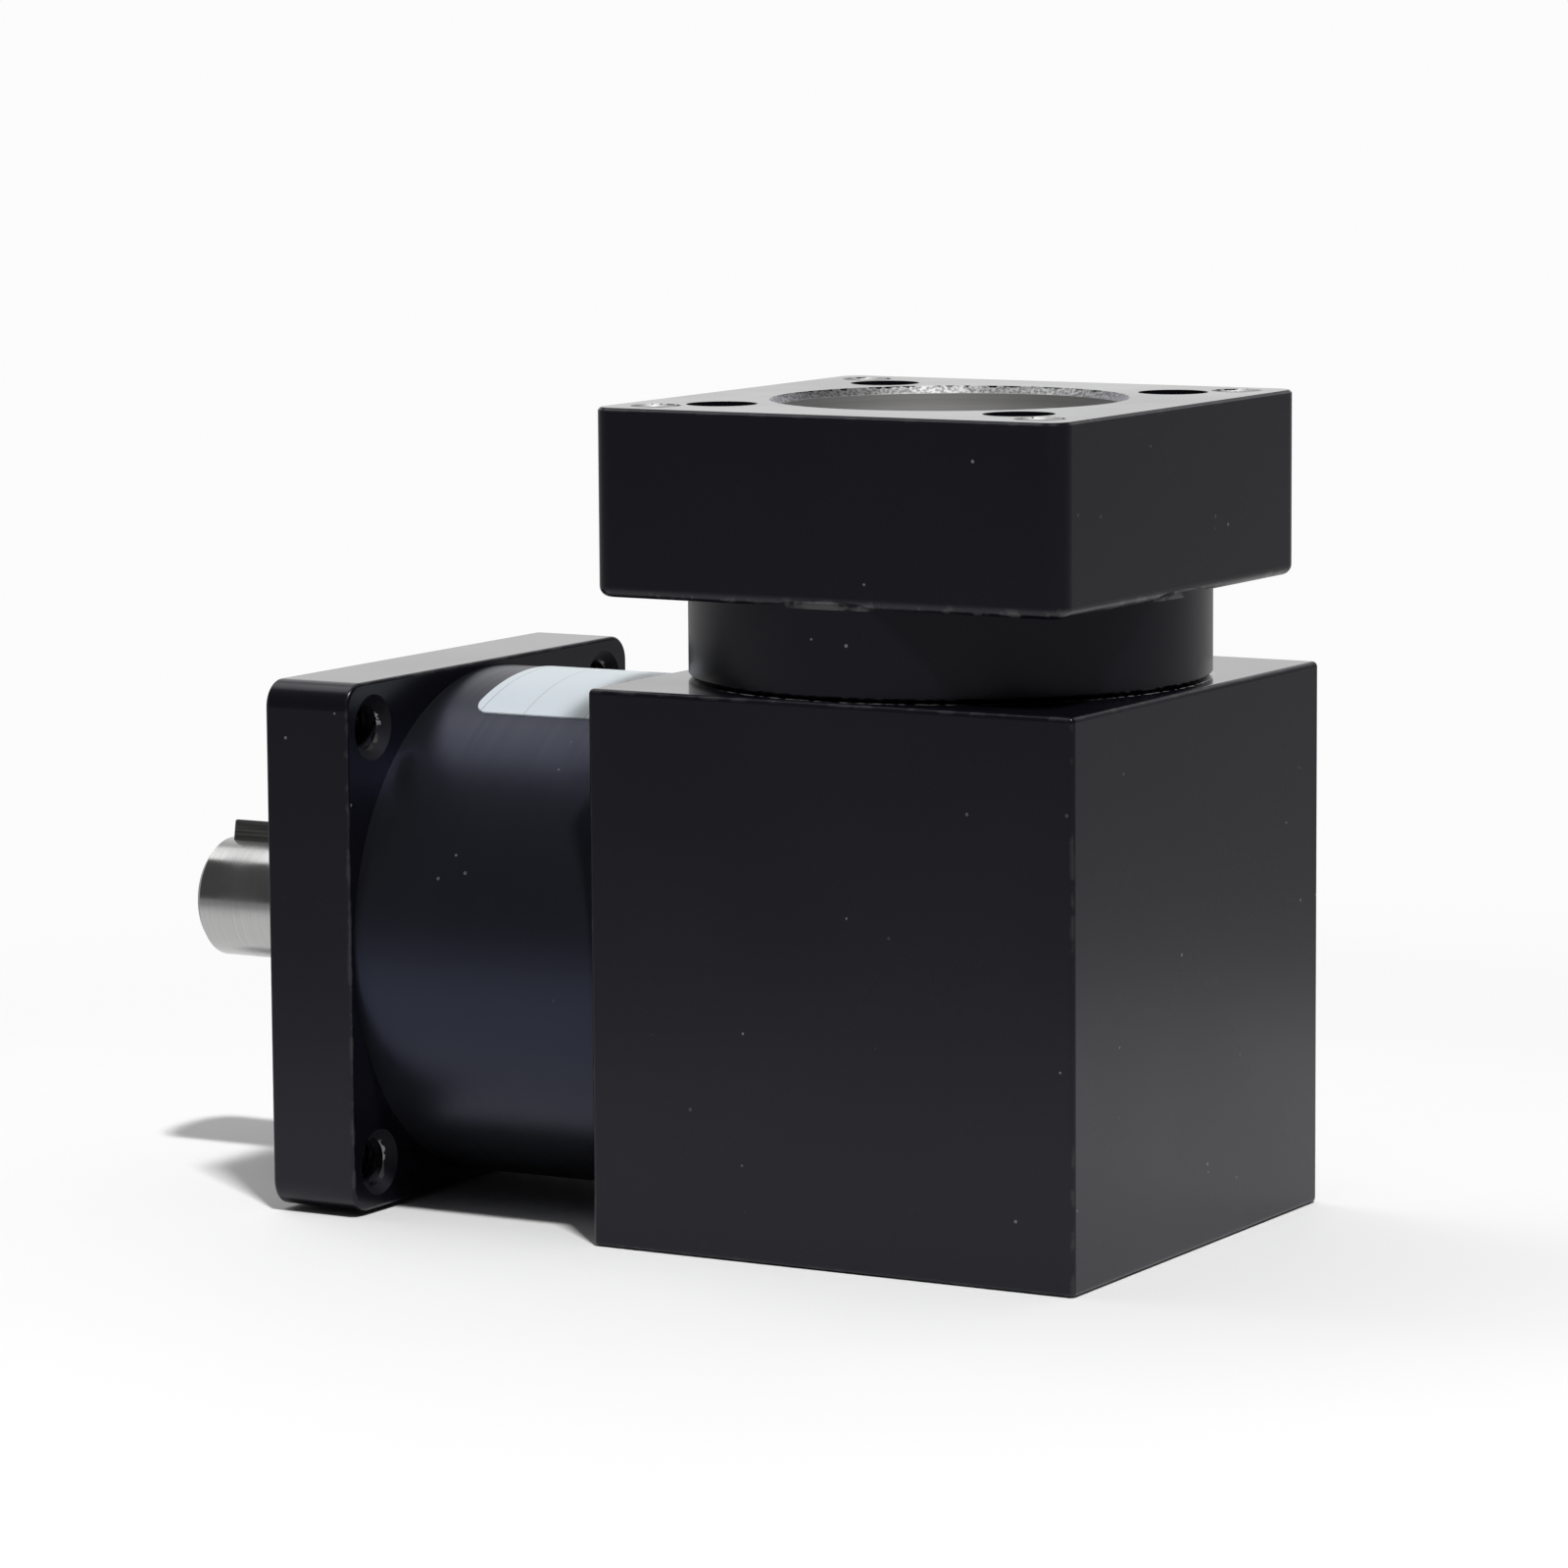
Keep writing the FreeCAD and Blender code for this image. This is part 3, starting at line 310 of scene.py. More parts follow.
def screw_group(name, node, along_x, material):
    """Detailed screws in place of a node of four, along X or upright, with their heads on the high side."""
    low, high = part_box(node)
    along = 0 if along_x else 2
    seat = high[along] - screw_head_height
    centre = (low + high) / 2
    places = []
    for a, b in diagonal_places((high.y - low.y - screw_head) / 2):
        upright = Matrix.Translation((centre.x + a, centre.y + b, seat))
        places.append(facing_x(Vector((seat, a, b))) if along_x else upright)
    piece = join_copies(name, cap_screw_model(seat - low[along]), places)
    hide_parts(node)
    finish_piece(piece, "casing", material)


def thread_model(radius, length):
    """Helical ridge of a tapped hole about Z, from the origin upwards, with a triangular section."""
    start_clean()
    size = (thread_depth + thread_bite) / 1.5   # a triangle is 1.5 times as high as its circle's radius
    middle = (radius + thread_bite - size / 2, 0, thread_pitch / 2)
    bpy.ops.mesh.primitive_circle_add(vertices=3, radius=size, fill_type="NOTHING", location=middle,
                                      rotation=(math.radians(90), 0, math.radians(90)))
    ridge = bpy.context.object
    settle(ridge)
    bpy.ops.object.mode_set(mode="EDIT")
    bpy.ops.mesh.select_all(action="SELECT")
    bpy.ops.transform.rotate(value=math.radians(-90), orient_axis="Y", center_override=middle)
    bpy.ops.object.mode_set(mode="OBJECT")
    turn = ridge.modifiers.new("turn", "SCREW")
    turn.axis = "Z"
    turn.steps = thread_steps
    turn.render_steps = thread_steps
    turn.screw_offset = thread_pitch
    turn.iterations = int(length / thread_pitch) - 1
    apply_modifier(ridge, turn)
    bpy.ops.object.mode_set(mode="EDIT")
    bpy.ops.mesh.select_all(action="SELECT")
    bpy.ops.mesh.fill_holes(sides=3)
    bpy.ops.object.mode_set(mode="OBJECT")
    tidy_normals(ridge)
    smooth(ridge, 40)
    return ridge


def threads(name, mount, length, places, material):
    """Threads in the four holes of a mount."""
    model = thread_model(mounts[mount]["dims"]["hole_r_mm"] * MM, length)
    finish_piece(join_copies(name, model, places), "casing", material)


def threads_in_mount_holes(material):
    """Threads in the output flange's four corner holes."""
    start = mount_thread_start - flange_thickness
    places = [facing_x(Vector((start, y, z))) for y, z in diagonal_places(mount_hole_offset)]
    threads("mount_threads", "output_bolts", flange_thickness - mount_thread_spare, places, material)


def threads_in_motor_holes(material):
    """Threads in the motor flange's four corner holes."""
    start = Vector((input_axis.x, input_axis.y, motor_face - motor_plate + motor_thread_start))
    places = [Matrix.Translation(start + Vector((x, y, 0))) for x, y in diagonal_places(motor_hole_offset)]
    threads("motor_threads", "motor_bolts", motor_plate - motor_thread_spare, places, material)


def turned_ring(name, stations):
    """Closed ring about X, as turned on a lathe: a circle pulled from one (x, radius) to the next."""
    start_clean()
    x, radius = stations[0]
    bpy.ops.mesh.primitive_circle_add(vertices=round_sides, radius=radius, fill_type="NOTHING",
                                      location=(x, 0, 0), rotation=(0, math.radians(90), 0))
    ring = bpy.context.object
    settle(ring)
    bpy.ops.object.mode_set(mode="EDIT")
    bpy.ops.mesh.select_mode(type="EDGE")
    bpy.ops.mesh.select_all(action="SELECT")
    for next_x, next_radius in stations[1:]:
        bpy.ops.mesh.extrude_edges_move(TRANSFORM_OT_translate={"value": (next_x - x, 0, 0)})
        factor = next_radius / radius
        bpy.ops.transform.resize(value=(1, factor, factor), center_override=(next_x, 0, 0))
        x, radius = next_x, next_radius
    bpy.ops.mesh.select_all(action="DESELECT")
    bpy.ops.mesh.select_non_manifold()
    bpy.ops.mesh.bridge_edge_loops()
    bpy.ops.object.mode_set(mode="OBJECT")
    tidy_normals(ring)
    smooth(ring, 35)
    ring.name = name
    return ring


def shaft_seal(material):
    """Lip seal with a ribbed face and a dust lip, in place of the plain ring."""
    low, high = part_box("output_seal")
    outside, front, back = high.y, high.x, low.x
    middle = (outside + seal_lip) / 2
    rib = front - seal_rib_drop
    piece = turned_ring("shaft_seal", [
        (front - seal_edge, outside), (front, outside - seal_edge), (front, middle + seal_groove_out),
        (front - seal_groove, middle + seal_groove_out - seal_edge),
        (front - seal_groove, middle - seal_groove_in + seal_edge),
        (rib, middle - seal_groove_in), (rib, middle - seal_rib_in),
        (front - 2 * seal_groove, seal_lip + seal_flare), (front - 1.5 * seal_groove, seal_lip),
        (front - 4 * seal_groove, seal_lip), (front - 4 * seal_groove, middle),
        (back, outside - 2 * seal_edge), (back, outside),
    ])
    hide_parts("output_seal")
    finish_piece(piece, "casing", material)


def shaft_key(material):
    """Feather key with broken edges, in place of the plain prism."""
    low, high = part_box("output_key")
    start_clean()
    middle = ((low.x + high.x) / 2, 0, key_floor + key_height / 2)
    bpy.ops.mesh.primitive_cube_add(size=1.0, location=middle, scale=(high.x - low.x, key_width, key_height))
    key = bpy.context.object
    settle(key)
    pick_edges(key, lambda a, b: abs(a.z - b.z) > key_height / 2)
    bpy.ops.mesh.bevel(offset=key_corner, segments=4, affect="EDGES")
    pick_edges(key, lambda a, b: min(a.z, b.z) > key_floor + key_height - hair)
    bpy.ops.mesh.bevel(offset=key_bevel, segments=2, affect="EDGES")
    bpy.ops.object.mode_set(mode="OBJECT")
    key.rotation_euler = (math.radians(key_turn), 0, 0)
    settle(key)
    tidy_normals(key)
    smooth(key, 30)
    key.name = "shaft_key"
    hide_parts("output_key")
    finish_piece(key, "output", material)


# Shader helpers

def put(tree, kind, inputs=None, **settings):
    """Add a shader node; inputs are values or sockets to link."""
    node = tree.nodes.new(kind)
    for name, value in settings.items():
        setattr(node, name, value)
    for name, value in (inputs or {}).items():
        if isinstance(value, bpy.types.NodeSocket):
            tree.links.new(value, node.inputs[name])
        else:
            node.inputs[name].default_value = value
    return node


def calc(tree, operation, first, second=0.0):
    return put(tree, "ShaderNodeMath", {0: first, 1: second}, operation=operation).outputs[0]


def vector_calc(tree, operation, *vectors):
    """Sum on vectors; a length or a dot product comes out as a number."""
    node = put(tree, "ShaderNodeVectorMath", dict(enumerate(vectors)), operation=operation)
    return node.outputs["Value" if operation in ("LENGTH", "DOT_PRODUCT") else "Vector"]


def close_to(tree, value, target, reach):
    """Mask of where a value lies within reach of a target."""
    return put(tree, "ShaderNodeMath", {0: value, 1: target, 2: reach}, operation="COMPARE").outputs[0]


def add_where(tree, value, mask, amount):
    """A value, with an amount added where a mask is set."""
    return calc(tree, "ADD", value, calc(tree, "MULTIPLY", mask, amount))


def ramp(tree, value, start, end, low=0.0, high=1.0):
    """Smooth step of a value from low at start to high at end."""
    inputs = {"Value": value, "From Min": start, "From Max": end, "To Min": low, "To Max": high}
    return put(tree, "ShaderNodeMapRange", inputs, interpolation_type="SMOOTHSTEP").outputs[0]


def noise(tree, coords, scale, detail):
    inputs = {"Vector": coords, "Scale": scale, "Detail": detail}
    return put(tree, "ShaderNodeTexNoise", inputs).outputs["Fac"]


def line_noise(tree, travel):
    """Noise along a line, with one wave for each unit of travel."""
    inputs = {"W": travel, "Scale": 1.0, "Detail": 2.0}
    return put(tree, "ShaderNodeTexNoise", inputs, noise_dimensions="1D").outputs["Fac"]


def blend(tree, mask, first, second):
    """Mix two colours by a mask."""
    return put(tree, "ShaderNodeMix", {0: mask, 6: first, 7: second}, data_type="RGBA").outputs[2]


def colour(level, warm=0.0):
    """A grey, a little blue where warm is below zero."""
    return (level * (1 + warm), level, level * (1 - warm), 1.0)


def group_of(name, inputs, outputs):
    """New node group with named sockets; returns it with its ends."""
    tree = bpy.data.node_groups.new(name, "ShaderNodeTree")
    for socket, kind in inputs:
        tree.interface.new_socket(socket, in_out="INPUT", socket_type=kind)
    for socket, kind in outputs:
        tree.interface.new_socket(socket, in_out="OUTPUT", socket_type=kind)
    return tree, tree.nodes.new("NodeGroupInput").outputs, tree.nodes.new("NodeGroupOutput").inputs


def use_group(tree, group, inputs):
    return put(tree, "ShaderNodeGroup", inputs, node_tree=group).outputs


FLOAT = "NodeSocketFloat"
VECTOR = "NodeSocketVector"


def dust_group():
    """Pale specks of dust: a few points a millimetre or less across."""
    tree, given, made = group_of("dust_specks", [("Vector", VECTOR), ("Spread", FLOAT), ("Size", FLOAT)],
                                 [("Mask", FLOAT)])
    spots = put(tree, "ShaderNodeTexVoronoi", {"Vector": given["Vector"], "Scale": given["Spread"]})
    near = calc(tree, "LESS_THAN", spots.outputs["Distance"], given["Size"])
    here = ramp(tree, noise(tree, given["Vector"], scale=45.0, detail=2.0), 0.45, 0.62)
    tree.links.new(calc(tree, "MULTIPLY", near, here), made["Mask"])
    return tree


def grain_group():
    """Fine tooth of a blasted and anodised surface, with slow patches of shade."""
    tree, given, made = group_of("blasted_grain", [("Vector", VECTOR)], [("Height", FLOAT), ("Patch", FLOAT)])
    fine = noise(tree, given["Vector"], scale=5200.0, detail=3.0)
    coarse = noise(tree, given["Vector"], scale=900.0, detail=2.0)
    tree.links.new(add_where(tree, fine, coarse, 0.5), made["Height"])
    tree.links.new(noise(tree, given["Vector"], scale=38.0, detail=4.0), made["Patch"])
    return tree


def edge_group():
    """Rubbed edges of a block between two corners: strongest on the edge, broken up by noise."""
    tree, given, made = group_of("edge_rub", [("Vector", VECTOR), ("Low", VECTOR), ("High", VECTOR),
                                              ("Width", FLOAT)], [("Mask", FLOAT)])
    under = vector_calc(tree, "SUBTRACT", given["Vector"], given["Low"])
    over = vector_calc(tree, "SUBTRACT", given["High"], given["Vector"])
    depth = vector_calc(tree, "MINIMUM", under, over)
    parts = put(tree, "ShaderNodeSeparateXYZ", {0: depth}).outputs
    smaller = calc(tree, "MINIMUM", parts[0], parts[1])
    larger = calc(tree, "MAXIMUM", parts[0], parts[1])
    middle = calc(tree, "MAXIMUM", smaller, calc(tree, "MINIMUM", larger, parts[2]))
    share = calc(tree, "DIVIDE", middle, given["Width"])
    chips = noise(tree, given["Vector"], scale=420.0, detail=4.0)
    torn = calc(tree, "ADD", share, ramp(tree, chips, 0.35, 0.65))
    inside = calc(tree, "GREATER_THAN", calc(tree, "MINIMUM", smaller, parts[2]), -block_skin)
    rubbed = ramp(tree, torn, 0.25, 1.0, 1.0, 0.0)
    tree.links.new(calc(tree, "MULTIPLY", rubbed, inside), made["Mask"])
    return tree


def lathe_group():
    """Fine lines that a turning tool leaves, round an axis: along it on a cylinder, in rings on a face."""
    tree, given, made = group_of("lathe_lines", [("Along", FLOAT), ("Radius", FLOAT), ("Pitch", FLOAT)],
                                 [("Height", FLOAT), ("Shade", FLOAT)])
    travel = calc(tree, "DIVIDE", calc(tree, "ADD", given["Along"], given["Radius"]), given["Pitch"])
    tree.links.new(line_noise(tree, travel), made["Height"])
    tree.links.new(line_noise(tree, calc(tree, "MULTIPLY", travel, 0.13)), made["Shade"])
    return tree


dust_specks = dust_group()
blasted_grain = grain_group()
edge_rub = edge_group()
lathe_lines = lathe_group()


def new_material(name):
    """Material with a Principled shader; returns it, its tree, its shader and its object coordinates."""
    material = bpy.data.materials.new(name)
    material.use_nodes = True
    tree = material.node_tree
    shader = tree.nodes["Principled BSDF"]
    coords = put(tree, "ShaderNodeTexCoord").outputs["Object"]
    return material, tree, shader, coords


def axis_parts(tree, coords, upright):
    """Distance along an axis and from it, for the input axis if upright and the output axis if not."""
    parts = put(tree, "ShaderNodeSeparateXYZ", {0: coords}).outputs
    if upright:
        across = calc(tree, "SUBTRACT", parts[0], input_axis.x)
        along, other = parts[2], parts[1]
    else:
        across, along, other = parts[1], parts[0], parts[2]
    square = calc(tree, "ADD", calc(tree, "MULTIPLY", across, across), calc(tree, "MULTIPLY", other, other))
    return along, calc(tree, "SQRT", square)


def bump(tree, shader, height, strength, distance):
    node = put(tree, "ShaderNodeBump", {"Height": height, "Strength": strength, "Distance": distance})
    tree.links.new(node.outputs["Normal"], shader.inputs["Normal"])


def mottle(tree, shader, mask, colours, roughness):
    """Colour and roughness that go from the first to the second of each pair with a noise."""
    tree.links.new(blend(tree, mask, *colours), shader.inputs["Base Color"])
    tree.links.new(ramp(tree, mask, noise_low, noise_high, *roughness), shader.inputs["Roughness"])


def set_gloss(shader, level, tint):
    shader.inputs["Specular IOR Level"].default_value = level
    shader.inputs["Specular Tint"].default_value = tint


def hole_distance(tree, coords, face_centre, corner):
    """Distance from the mouth of the nearest of four holes, set alike round the centre of a face."""
    one_corner = vector_calc(tree, "ABSOLUTE", vector_calc(tree, "SUBTRACT", coords, face_centre))
    return vector_calc(tree, "LENGTH", vector_calc(tree, "SUBTRACT", one_corner, corner))


def chipped(tree, coords, distance, limit):
    """Mask of what lies nearer than a limit, its edge broken up."""
    chips = ramp(tree, noise(tree, coords, scale=900.0, detail=3.0), 0.35, 0.65, -chip_in, chip_out)
    return calc(tree, "LESS_THAN", calc(tree, "ADD", distance, chips), limit)


# Materials

def milled_top(tree, coords, high):
    """Mask of a casting's top face."""
    height = put(tree, "ShaderNodeSeparateXYZ", {0: coords}).outputs[2]
    return calc(tree, "GREATER_THAN", height, high.z - milled_skin)


def anodised(tree, shader, coords, low, high, foot_wear_and_highlight=False):
    """Satin black anodised block between two corners, with a milled top, rubbed edges and dust.

    Returns its colour and its roughness, to be changed further and then linked.
    """
    grain = use_group(tree, blasted_grain, {"Vector": coords})
    width, strength = rub_width, rub_strength
    # The plate's lower edge gets a wider, stronger light rub: partly wear, partly a painted highlight along
    # the edge.
    if foot_wear_and_highlight:
        height = put(tree, "ShaderNodeSeparateXYZ", {0: coords}).outputs[2]
        foot_wear_and_highlight_mask = ramp(tree, height, low.z + foot_height, low.z + 2 * foot_height, 1.0, 0.0)
        width = add_where(tree, width, foot_wear_and_highlight_mask, foot_wear_and_highlight_width)
        strength = add_where(tree, strength, foot_wear_and_highlight_mask, foot_wear_and_highlight_strength)
    rub = use_group(tree, edge_rub, {"Vector": coords, "Low": low, "High": high, "Width": width})
    dust = use_group(tree, dust_specks, {"Vector": coords, "Spread": 230.0, "Size": 0.045})
    base = blend(tree, grain["Patch"], anodised_black, anodised_grey)
    worn_and_highlit = blend(tree, calc(tree, "MULTIPLY", rub["Mask"], strength), base, colour(0.075))
    tint = blend(tree, calc(tree, "MULTIPLY", dust["Mask"], 0.5), worn_and_highlit, colour(0.35))
    satin = ramp(tree, grain["Patch"], noise_low, noise_high, 0.24, 0.30)
    rough = add_where(tree, satin, milled_top(tree, coords, high), -0.14)
    set_gloss(shader, level=0.32, tint=(0.90, 0.90, 1.0, 1.0))
    bump(tree, shader, grain["Height"], strength=0.05, distance=0.02 * MM)
    return tint, rough


def black_housing():
    """The cube: dust and painted glints on its top, along the foot of the neck."""
    material, tree, shader, coords = new_material("black_housing")
    low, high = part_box("angle_housing")
    tint, rough = anodised(tree, shader, coords, low, high)
    neck_low, neck_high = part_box("motor_flange")
    neck_radius = (neck_high.x - neck_low.x) / 2
    radius = axis_parts(tree, coords, upright=True)[1]
    from_seam = calc(tree, "ABSOLUTE", calc(tree, "SUBTRACT", radius, neck_radius))
    near_seam = chipped(tree, coords, from_seam, seam_dust_and_glint_reach)
    seam_dust_and_glint = calc(tree, "MULTIPLY", near_seam, milled_top(tree, coords, high))
    # Lighter ring beside the neck's foot: partly dust, partly painted glints.
    tree.links.new(blend(tree, seam_dust_and_glint, tint, colour(0.25)), shader.inputs["Base Color"])
    tree.links.new(rough, shader.inputs["Roughness"])
    return material


def black_motor_flange():
    """The motor's plate: bare metal in its pilot bore, on the scuffed bevel and round the motor's holes."""
    material, tree, shader, coords = new_material("black_motor_flange")
    low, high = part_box("motor_flange")
    low.z = motor_face - motor_plate
    # Its lower edge lighter: partly wear, partly a painted highlight.
    tint, rough = anodised(tree, shader, coords, low, high, foot_wear_and_highlight=True)
    along, radius = axis_parts(tree, coords, upright=True)
    in_bore = chipped(tree, coords, radius, pilot_radius + pilot_bevel)
    above_floor = calc(tree, "GREATER_THAN", along, motor_face - pilot_depth - bore_skin)
    corner = (motor_hole_offset, motor_hole_offset, 0)
    from_hole = hole_distance(tree, coords, (input_axis.x, 0, motor_face), corner)
    rim = chipped(tree, coords, from_hole, bare_rim_radius)
    bare = calc(tree, "MAXIMUM", calc(tree, "MULTIPLY", in_bore, above_floor), rim)
    lines = use_group(tree, lathe_lines, {"Along": along, "Radius": radius, "Pitch": 0.09 * MM})
    turned = blend(tree, lines["Shade"], colour(0.38, 0.01), colour(0.56, 0.01))
    scuffs = ramp(tree, noise(tree, coords, scale=2400.0, detail=3.0), 0.36, 0.64)
    scuffed = blend(tree, scuffs, colour(0.16), colour(0.42))
    from_pilot = calc(tree, "SUBTRACT", radius, pilot_radius)
    on_bevel = close_to(tree, from_pilot, pilot_bevel / 2, 0.47 * pilot_bevel)
    tint = blend(tree, bare, tint, blend(tree, on_bevel, turned, scuffed))
    rough = add_where(tree, add_where(tree, rough, bare, 0.34), on_bevel, -0.19)
    tree.links.new(tint, shader.inputs["Base Color"])
    tree.links.new(rough, shader.inputs["Roughness"])
    tree.links.new(bare, shader.inputs["Metallic"])
    return material


def black_output_flange():
    """The output flange: matt countersinks on its back, each with a bare lip at its thread."""
    material, tree, shader, coords = new_material("black_output_flange")
    low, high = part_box("output_flange")
    low.x = -flange_thickness
    high.x = 0.0
    tint, rough = anodised(tree, shader, coords, low, high)
    near = hole_distance(tree, coords, (low.x, 0, 0), (0, mount_hole_offset, mount_hole_offset))
    lip = chipped(tree, coords, near, bare_lip_radius)
    matt = calc(tree, "SUBTRACT", calc(tree, "LESS_THAN", near, mount_sink_radius), lip)
    tree.links.new(blend(tree, lip, tint, colour(0.20, 0.01)), shader.inputs["Base Color"])
    tree.links.new(add_where(tree, rough, matt, 0.45), shader.inputs["Roughness"])
    tree.links.new(lip, shader.inputs["Metallic"])
    return material


def black_barrel():
    """Turned steel under black oxide: a blue gloss, with faint lathe lines."""
    material, tree, shader, coords = new_material("black_oxide_barrel")
    grain = use_group(tree, blasted_grain, {"Vector": coords})
    along, radius = axis_parts(tree, coords, upright=False)
    lines = use_group(tree, lathe_lines, {"Along": along, "Radius": radius, "Pitch": 0.16 * MM})
    dust = use_group(tree, dust_specks, {"Vector": coords, "Spread": 210.0, "Size": 0.05})
    base = blend(tree, grain["Patch"], oxide_black, oxide_grey)
    dusty = blend(tree, calc(tree, "MULTIPLY", dust["Mask"], 0.45), base, colour(0.38, -0.1))
    rough = ramp(tree, lines["Shade"], noise_low, noise_high, 0.32, 0.36)
    tree.links.new(dusty, shader.inputs["Base Color"])
    tree.links.new(rough, shader.inputs["Roughness"])
    set_gloss(shader, level=0.42, tint=(0.48, 0.56, 1.0, 1.0))
    bump(tree, shader, lines["Height"], strength=0.006, distance=0.02 * MM)
    return material


def turned_metal(name, light, dark, pitch, rough, upright, warm=0.02, strength=0.25):
    """Bare turned or ground metal with tool lines round its axis."""
    material, tree, shader, coords = new_material(name)
    along, radius = axis_parts(tree, coords, upright)
    lines = use_group(tree, lathe_lines, {"Along": along, "Radius": radius, "Pitch": pitch})
    bands = ramp(tree, lines["Shade"], noise_low, noise_high)
    smudge = noise(tree, coords, scale=160.0, detail=4.0)
    smudged = ramp(tree, smudge, noise_low, noise_high, rough - 0.06, rough + 0.08)
    tree.links.new(blend(tree, bands, colour(dark, warm), colour(light, warm)), shader.inputs["Base Color"])
    tree.links.new(smudged, shader.inputs["Roughness"])
    shader.inputs["Metallic"].default_value = 1.0
    bump(tree, shader, lines["Height"], strength=strength, distance=0.01 * MM)
    return material


def black_screw():
    """Black oxide on cap screws: oily, slightly uneven."""
    material, tree, shader, coords = new_material("black_screw")
    patches = noise(tree, coords, scale=700.0, detail=4.0)
    oxide = (colour(0.016, -0.05), colour(0.045, 0.03))
    mottle(tree, shader, patches, colours=oxide, roughness=(0.26, 0.42))
    bump(tree, shader, patches, strength=0.15, distance=0.02 * MM)
    return material


def drawn_key_steel():
    """Cold drawn bar: lines along the key, dull grey."""
    material, tree, shader, coords = new_material("drawn_key_steel")
    stretch = put(tree, "ShaderNodeMapping", {"Vector": coords, "Scale": (60.0, 3200.0, 3200.0)})
    drawn = noise(tree, stretch.outputs[0], scale=1.0, detail=3.0)
    steel = (colour(0.10, 0.02), colour(0.24, 0.02))
    mottle(tree, shader, drawn, colours=steel, roughness=(0.34, 0.5))
    shader.inputs["Metallic"].default_value = 1.0
    bump(tree, shader, drawn, strength=0.2, distance=0.01 * MM)
    return material


def tapped_metal():
    """Flanks of tapped threads: bare aluminium, dull with cutting oil."""
    material, tree, shader, coords = new_material("tapped_metal")
    oil = noise(tree, coords, scale=800.0, detail=4.0)
    mottle(tree, shader, oil, colours=(colour(0.05), colour(0.26)), roughness=(0.26, 0.42))
    shader.inputs["Metallic"].default_value = 1.0
    return material


def seal_rubber():
    """Black nitrile rubber with a dry bloom."""
    material, tree, shader, coords = new_material("seal_rubber")
    bloom = noise(tree, coords, scale=300.0, detail=5.0)
    mottle(tree, shader, bloom, colours=(colour(0.012), colour(0.030)), roughness=(0.5, 0.68))
    bump(tree, shader, bloom, strength=0.12, distance=0.03 * MM)
    return material


def bronze_washer():
    """Bronze thrust washers with a lapped face."""
    material, tree, shader, coords = new_material("bronze_washer")
    cloud = noise(tree, coords, scale=500.0, detail=4.0)
    mottle(tree, shader, cloud, colours=(bronze_dark, bronze_light), roughness=(0.25, 0.4))
    shader.inputs["Metallic"].default_value = 1.0
    return material


def label_film():
    """Pale sticker, blank but for faint ruled lines."""
    material, tree, shader, coords = new_material("label_film")
    low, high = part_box("label")
    along = put(tree, "ShaderNodeSeparateXYZ", {0: coords}).outputs[0]
    from_low = calc(tree, "SUBTRACT", along, low.x)
    from_ends = calc(tree, "MINIMUM", from_low, calc(tree, "SUBTRACT", high.x, along))
    rule = close_to(tree, from_ends, label_rule, label_rule_half)
    divider = close_to(tree, from_ends, label_divider, label_divider_half)
    ink = calc(tree, "MULTIPLY", calc(tree, "MAXIMUM", rule, divider), 0.5)
    paper = noise(tree, coords, scale=250.0, detail=3.0)
    film = blend(tree, paper, film_dark, film_light)
    tree.links.new(blend(tree, ink, film, colour(0.22)), shader.inputs["Base Color"])
    tree.links.new(ramp(tree, paper, noise_low, noise_high, 0.28, 0.4), shader.inputs["Roughness"])
    bump(tree, shader, paper, strength=0.05, distance=0.02 * MM)
    return material


def give(names, material):
    """Set one material on the nodes of the solids that are named."""
    for name in names:
        data = nodes[name].data
        data.materials.clear()
        data.materials.append(material)


def dress_casing():
    """Materials on the castings, the barrel and its label."""
    give(["angle_housing"], black_housing())
    give(["motor_flange"], black_motor_flange())
    give(["output_flange"], black_output_flange())
    give(["ring_gear"], black_barrel())
    give(["label"], label_film())


def dress_drive():
    """Materials on shafts, gears, the clamp and what holds them."""
    shaft = turned_metal("ground_shaft", light=0.43, dark=0.40, pitch=0.05 * MM, rough=0.20, upright=False,
                         warm=0.005, strength=0.008)
    give(["output_carrier"], shaft)
    gear = turned_metal("gear_steel", light=0.46, dark=0.34, pitch=0.12 * MM, rough=0.28, upright=False)
    give(["sun_shaft", "sun_spacer", "bevel_gear"] + [f"planet_gear_{n}" for n in (1, 2, 3)], gear)
    quill = turned_metal("quill_steel", light=0.30, dark=0.22, pitch=0.12 * MM, rough=0.60, upright=True)
    give(["input_pinion"], quill)
    collar = turned_metal("collar_aluminium", light=0.38, dark=0.30, pitch=0.14 * MM, rough=0.66,
                          upright=True, warm=0.0)
    give(["clamp_collar"], collar)
    cartridge = turned_metal("cartridge_aluminium", light=0.66, dark=0.52, pitch=0.14 * MM, rough=0.30,
                             upright=False, warm=0.0)
    give(["bearing_cartridge"], cartridge)
    clip = turned_metal("clip_steel", light=0.16, dark=0.10, pitch=0.10 * MM, rough=0.36, upright=True,
                        warm=0.0)
    give(["input_bore_circlip", "input_shaft_circlip"], clip)
    give(["planet_washers"], bronze_washer())


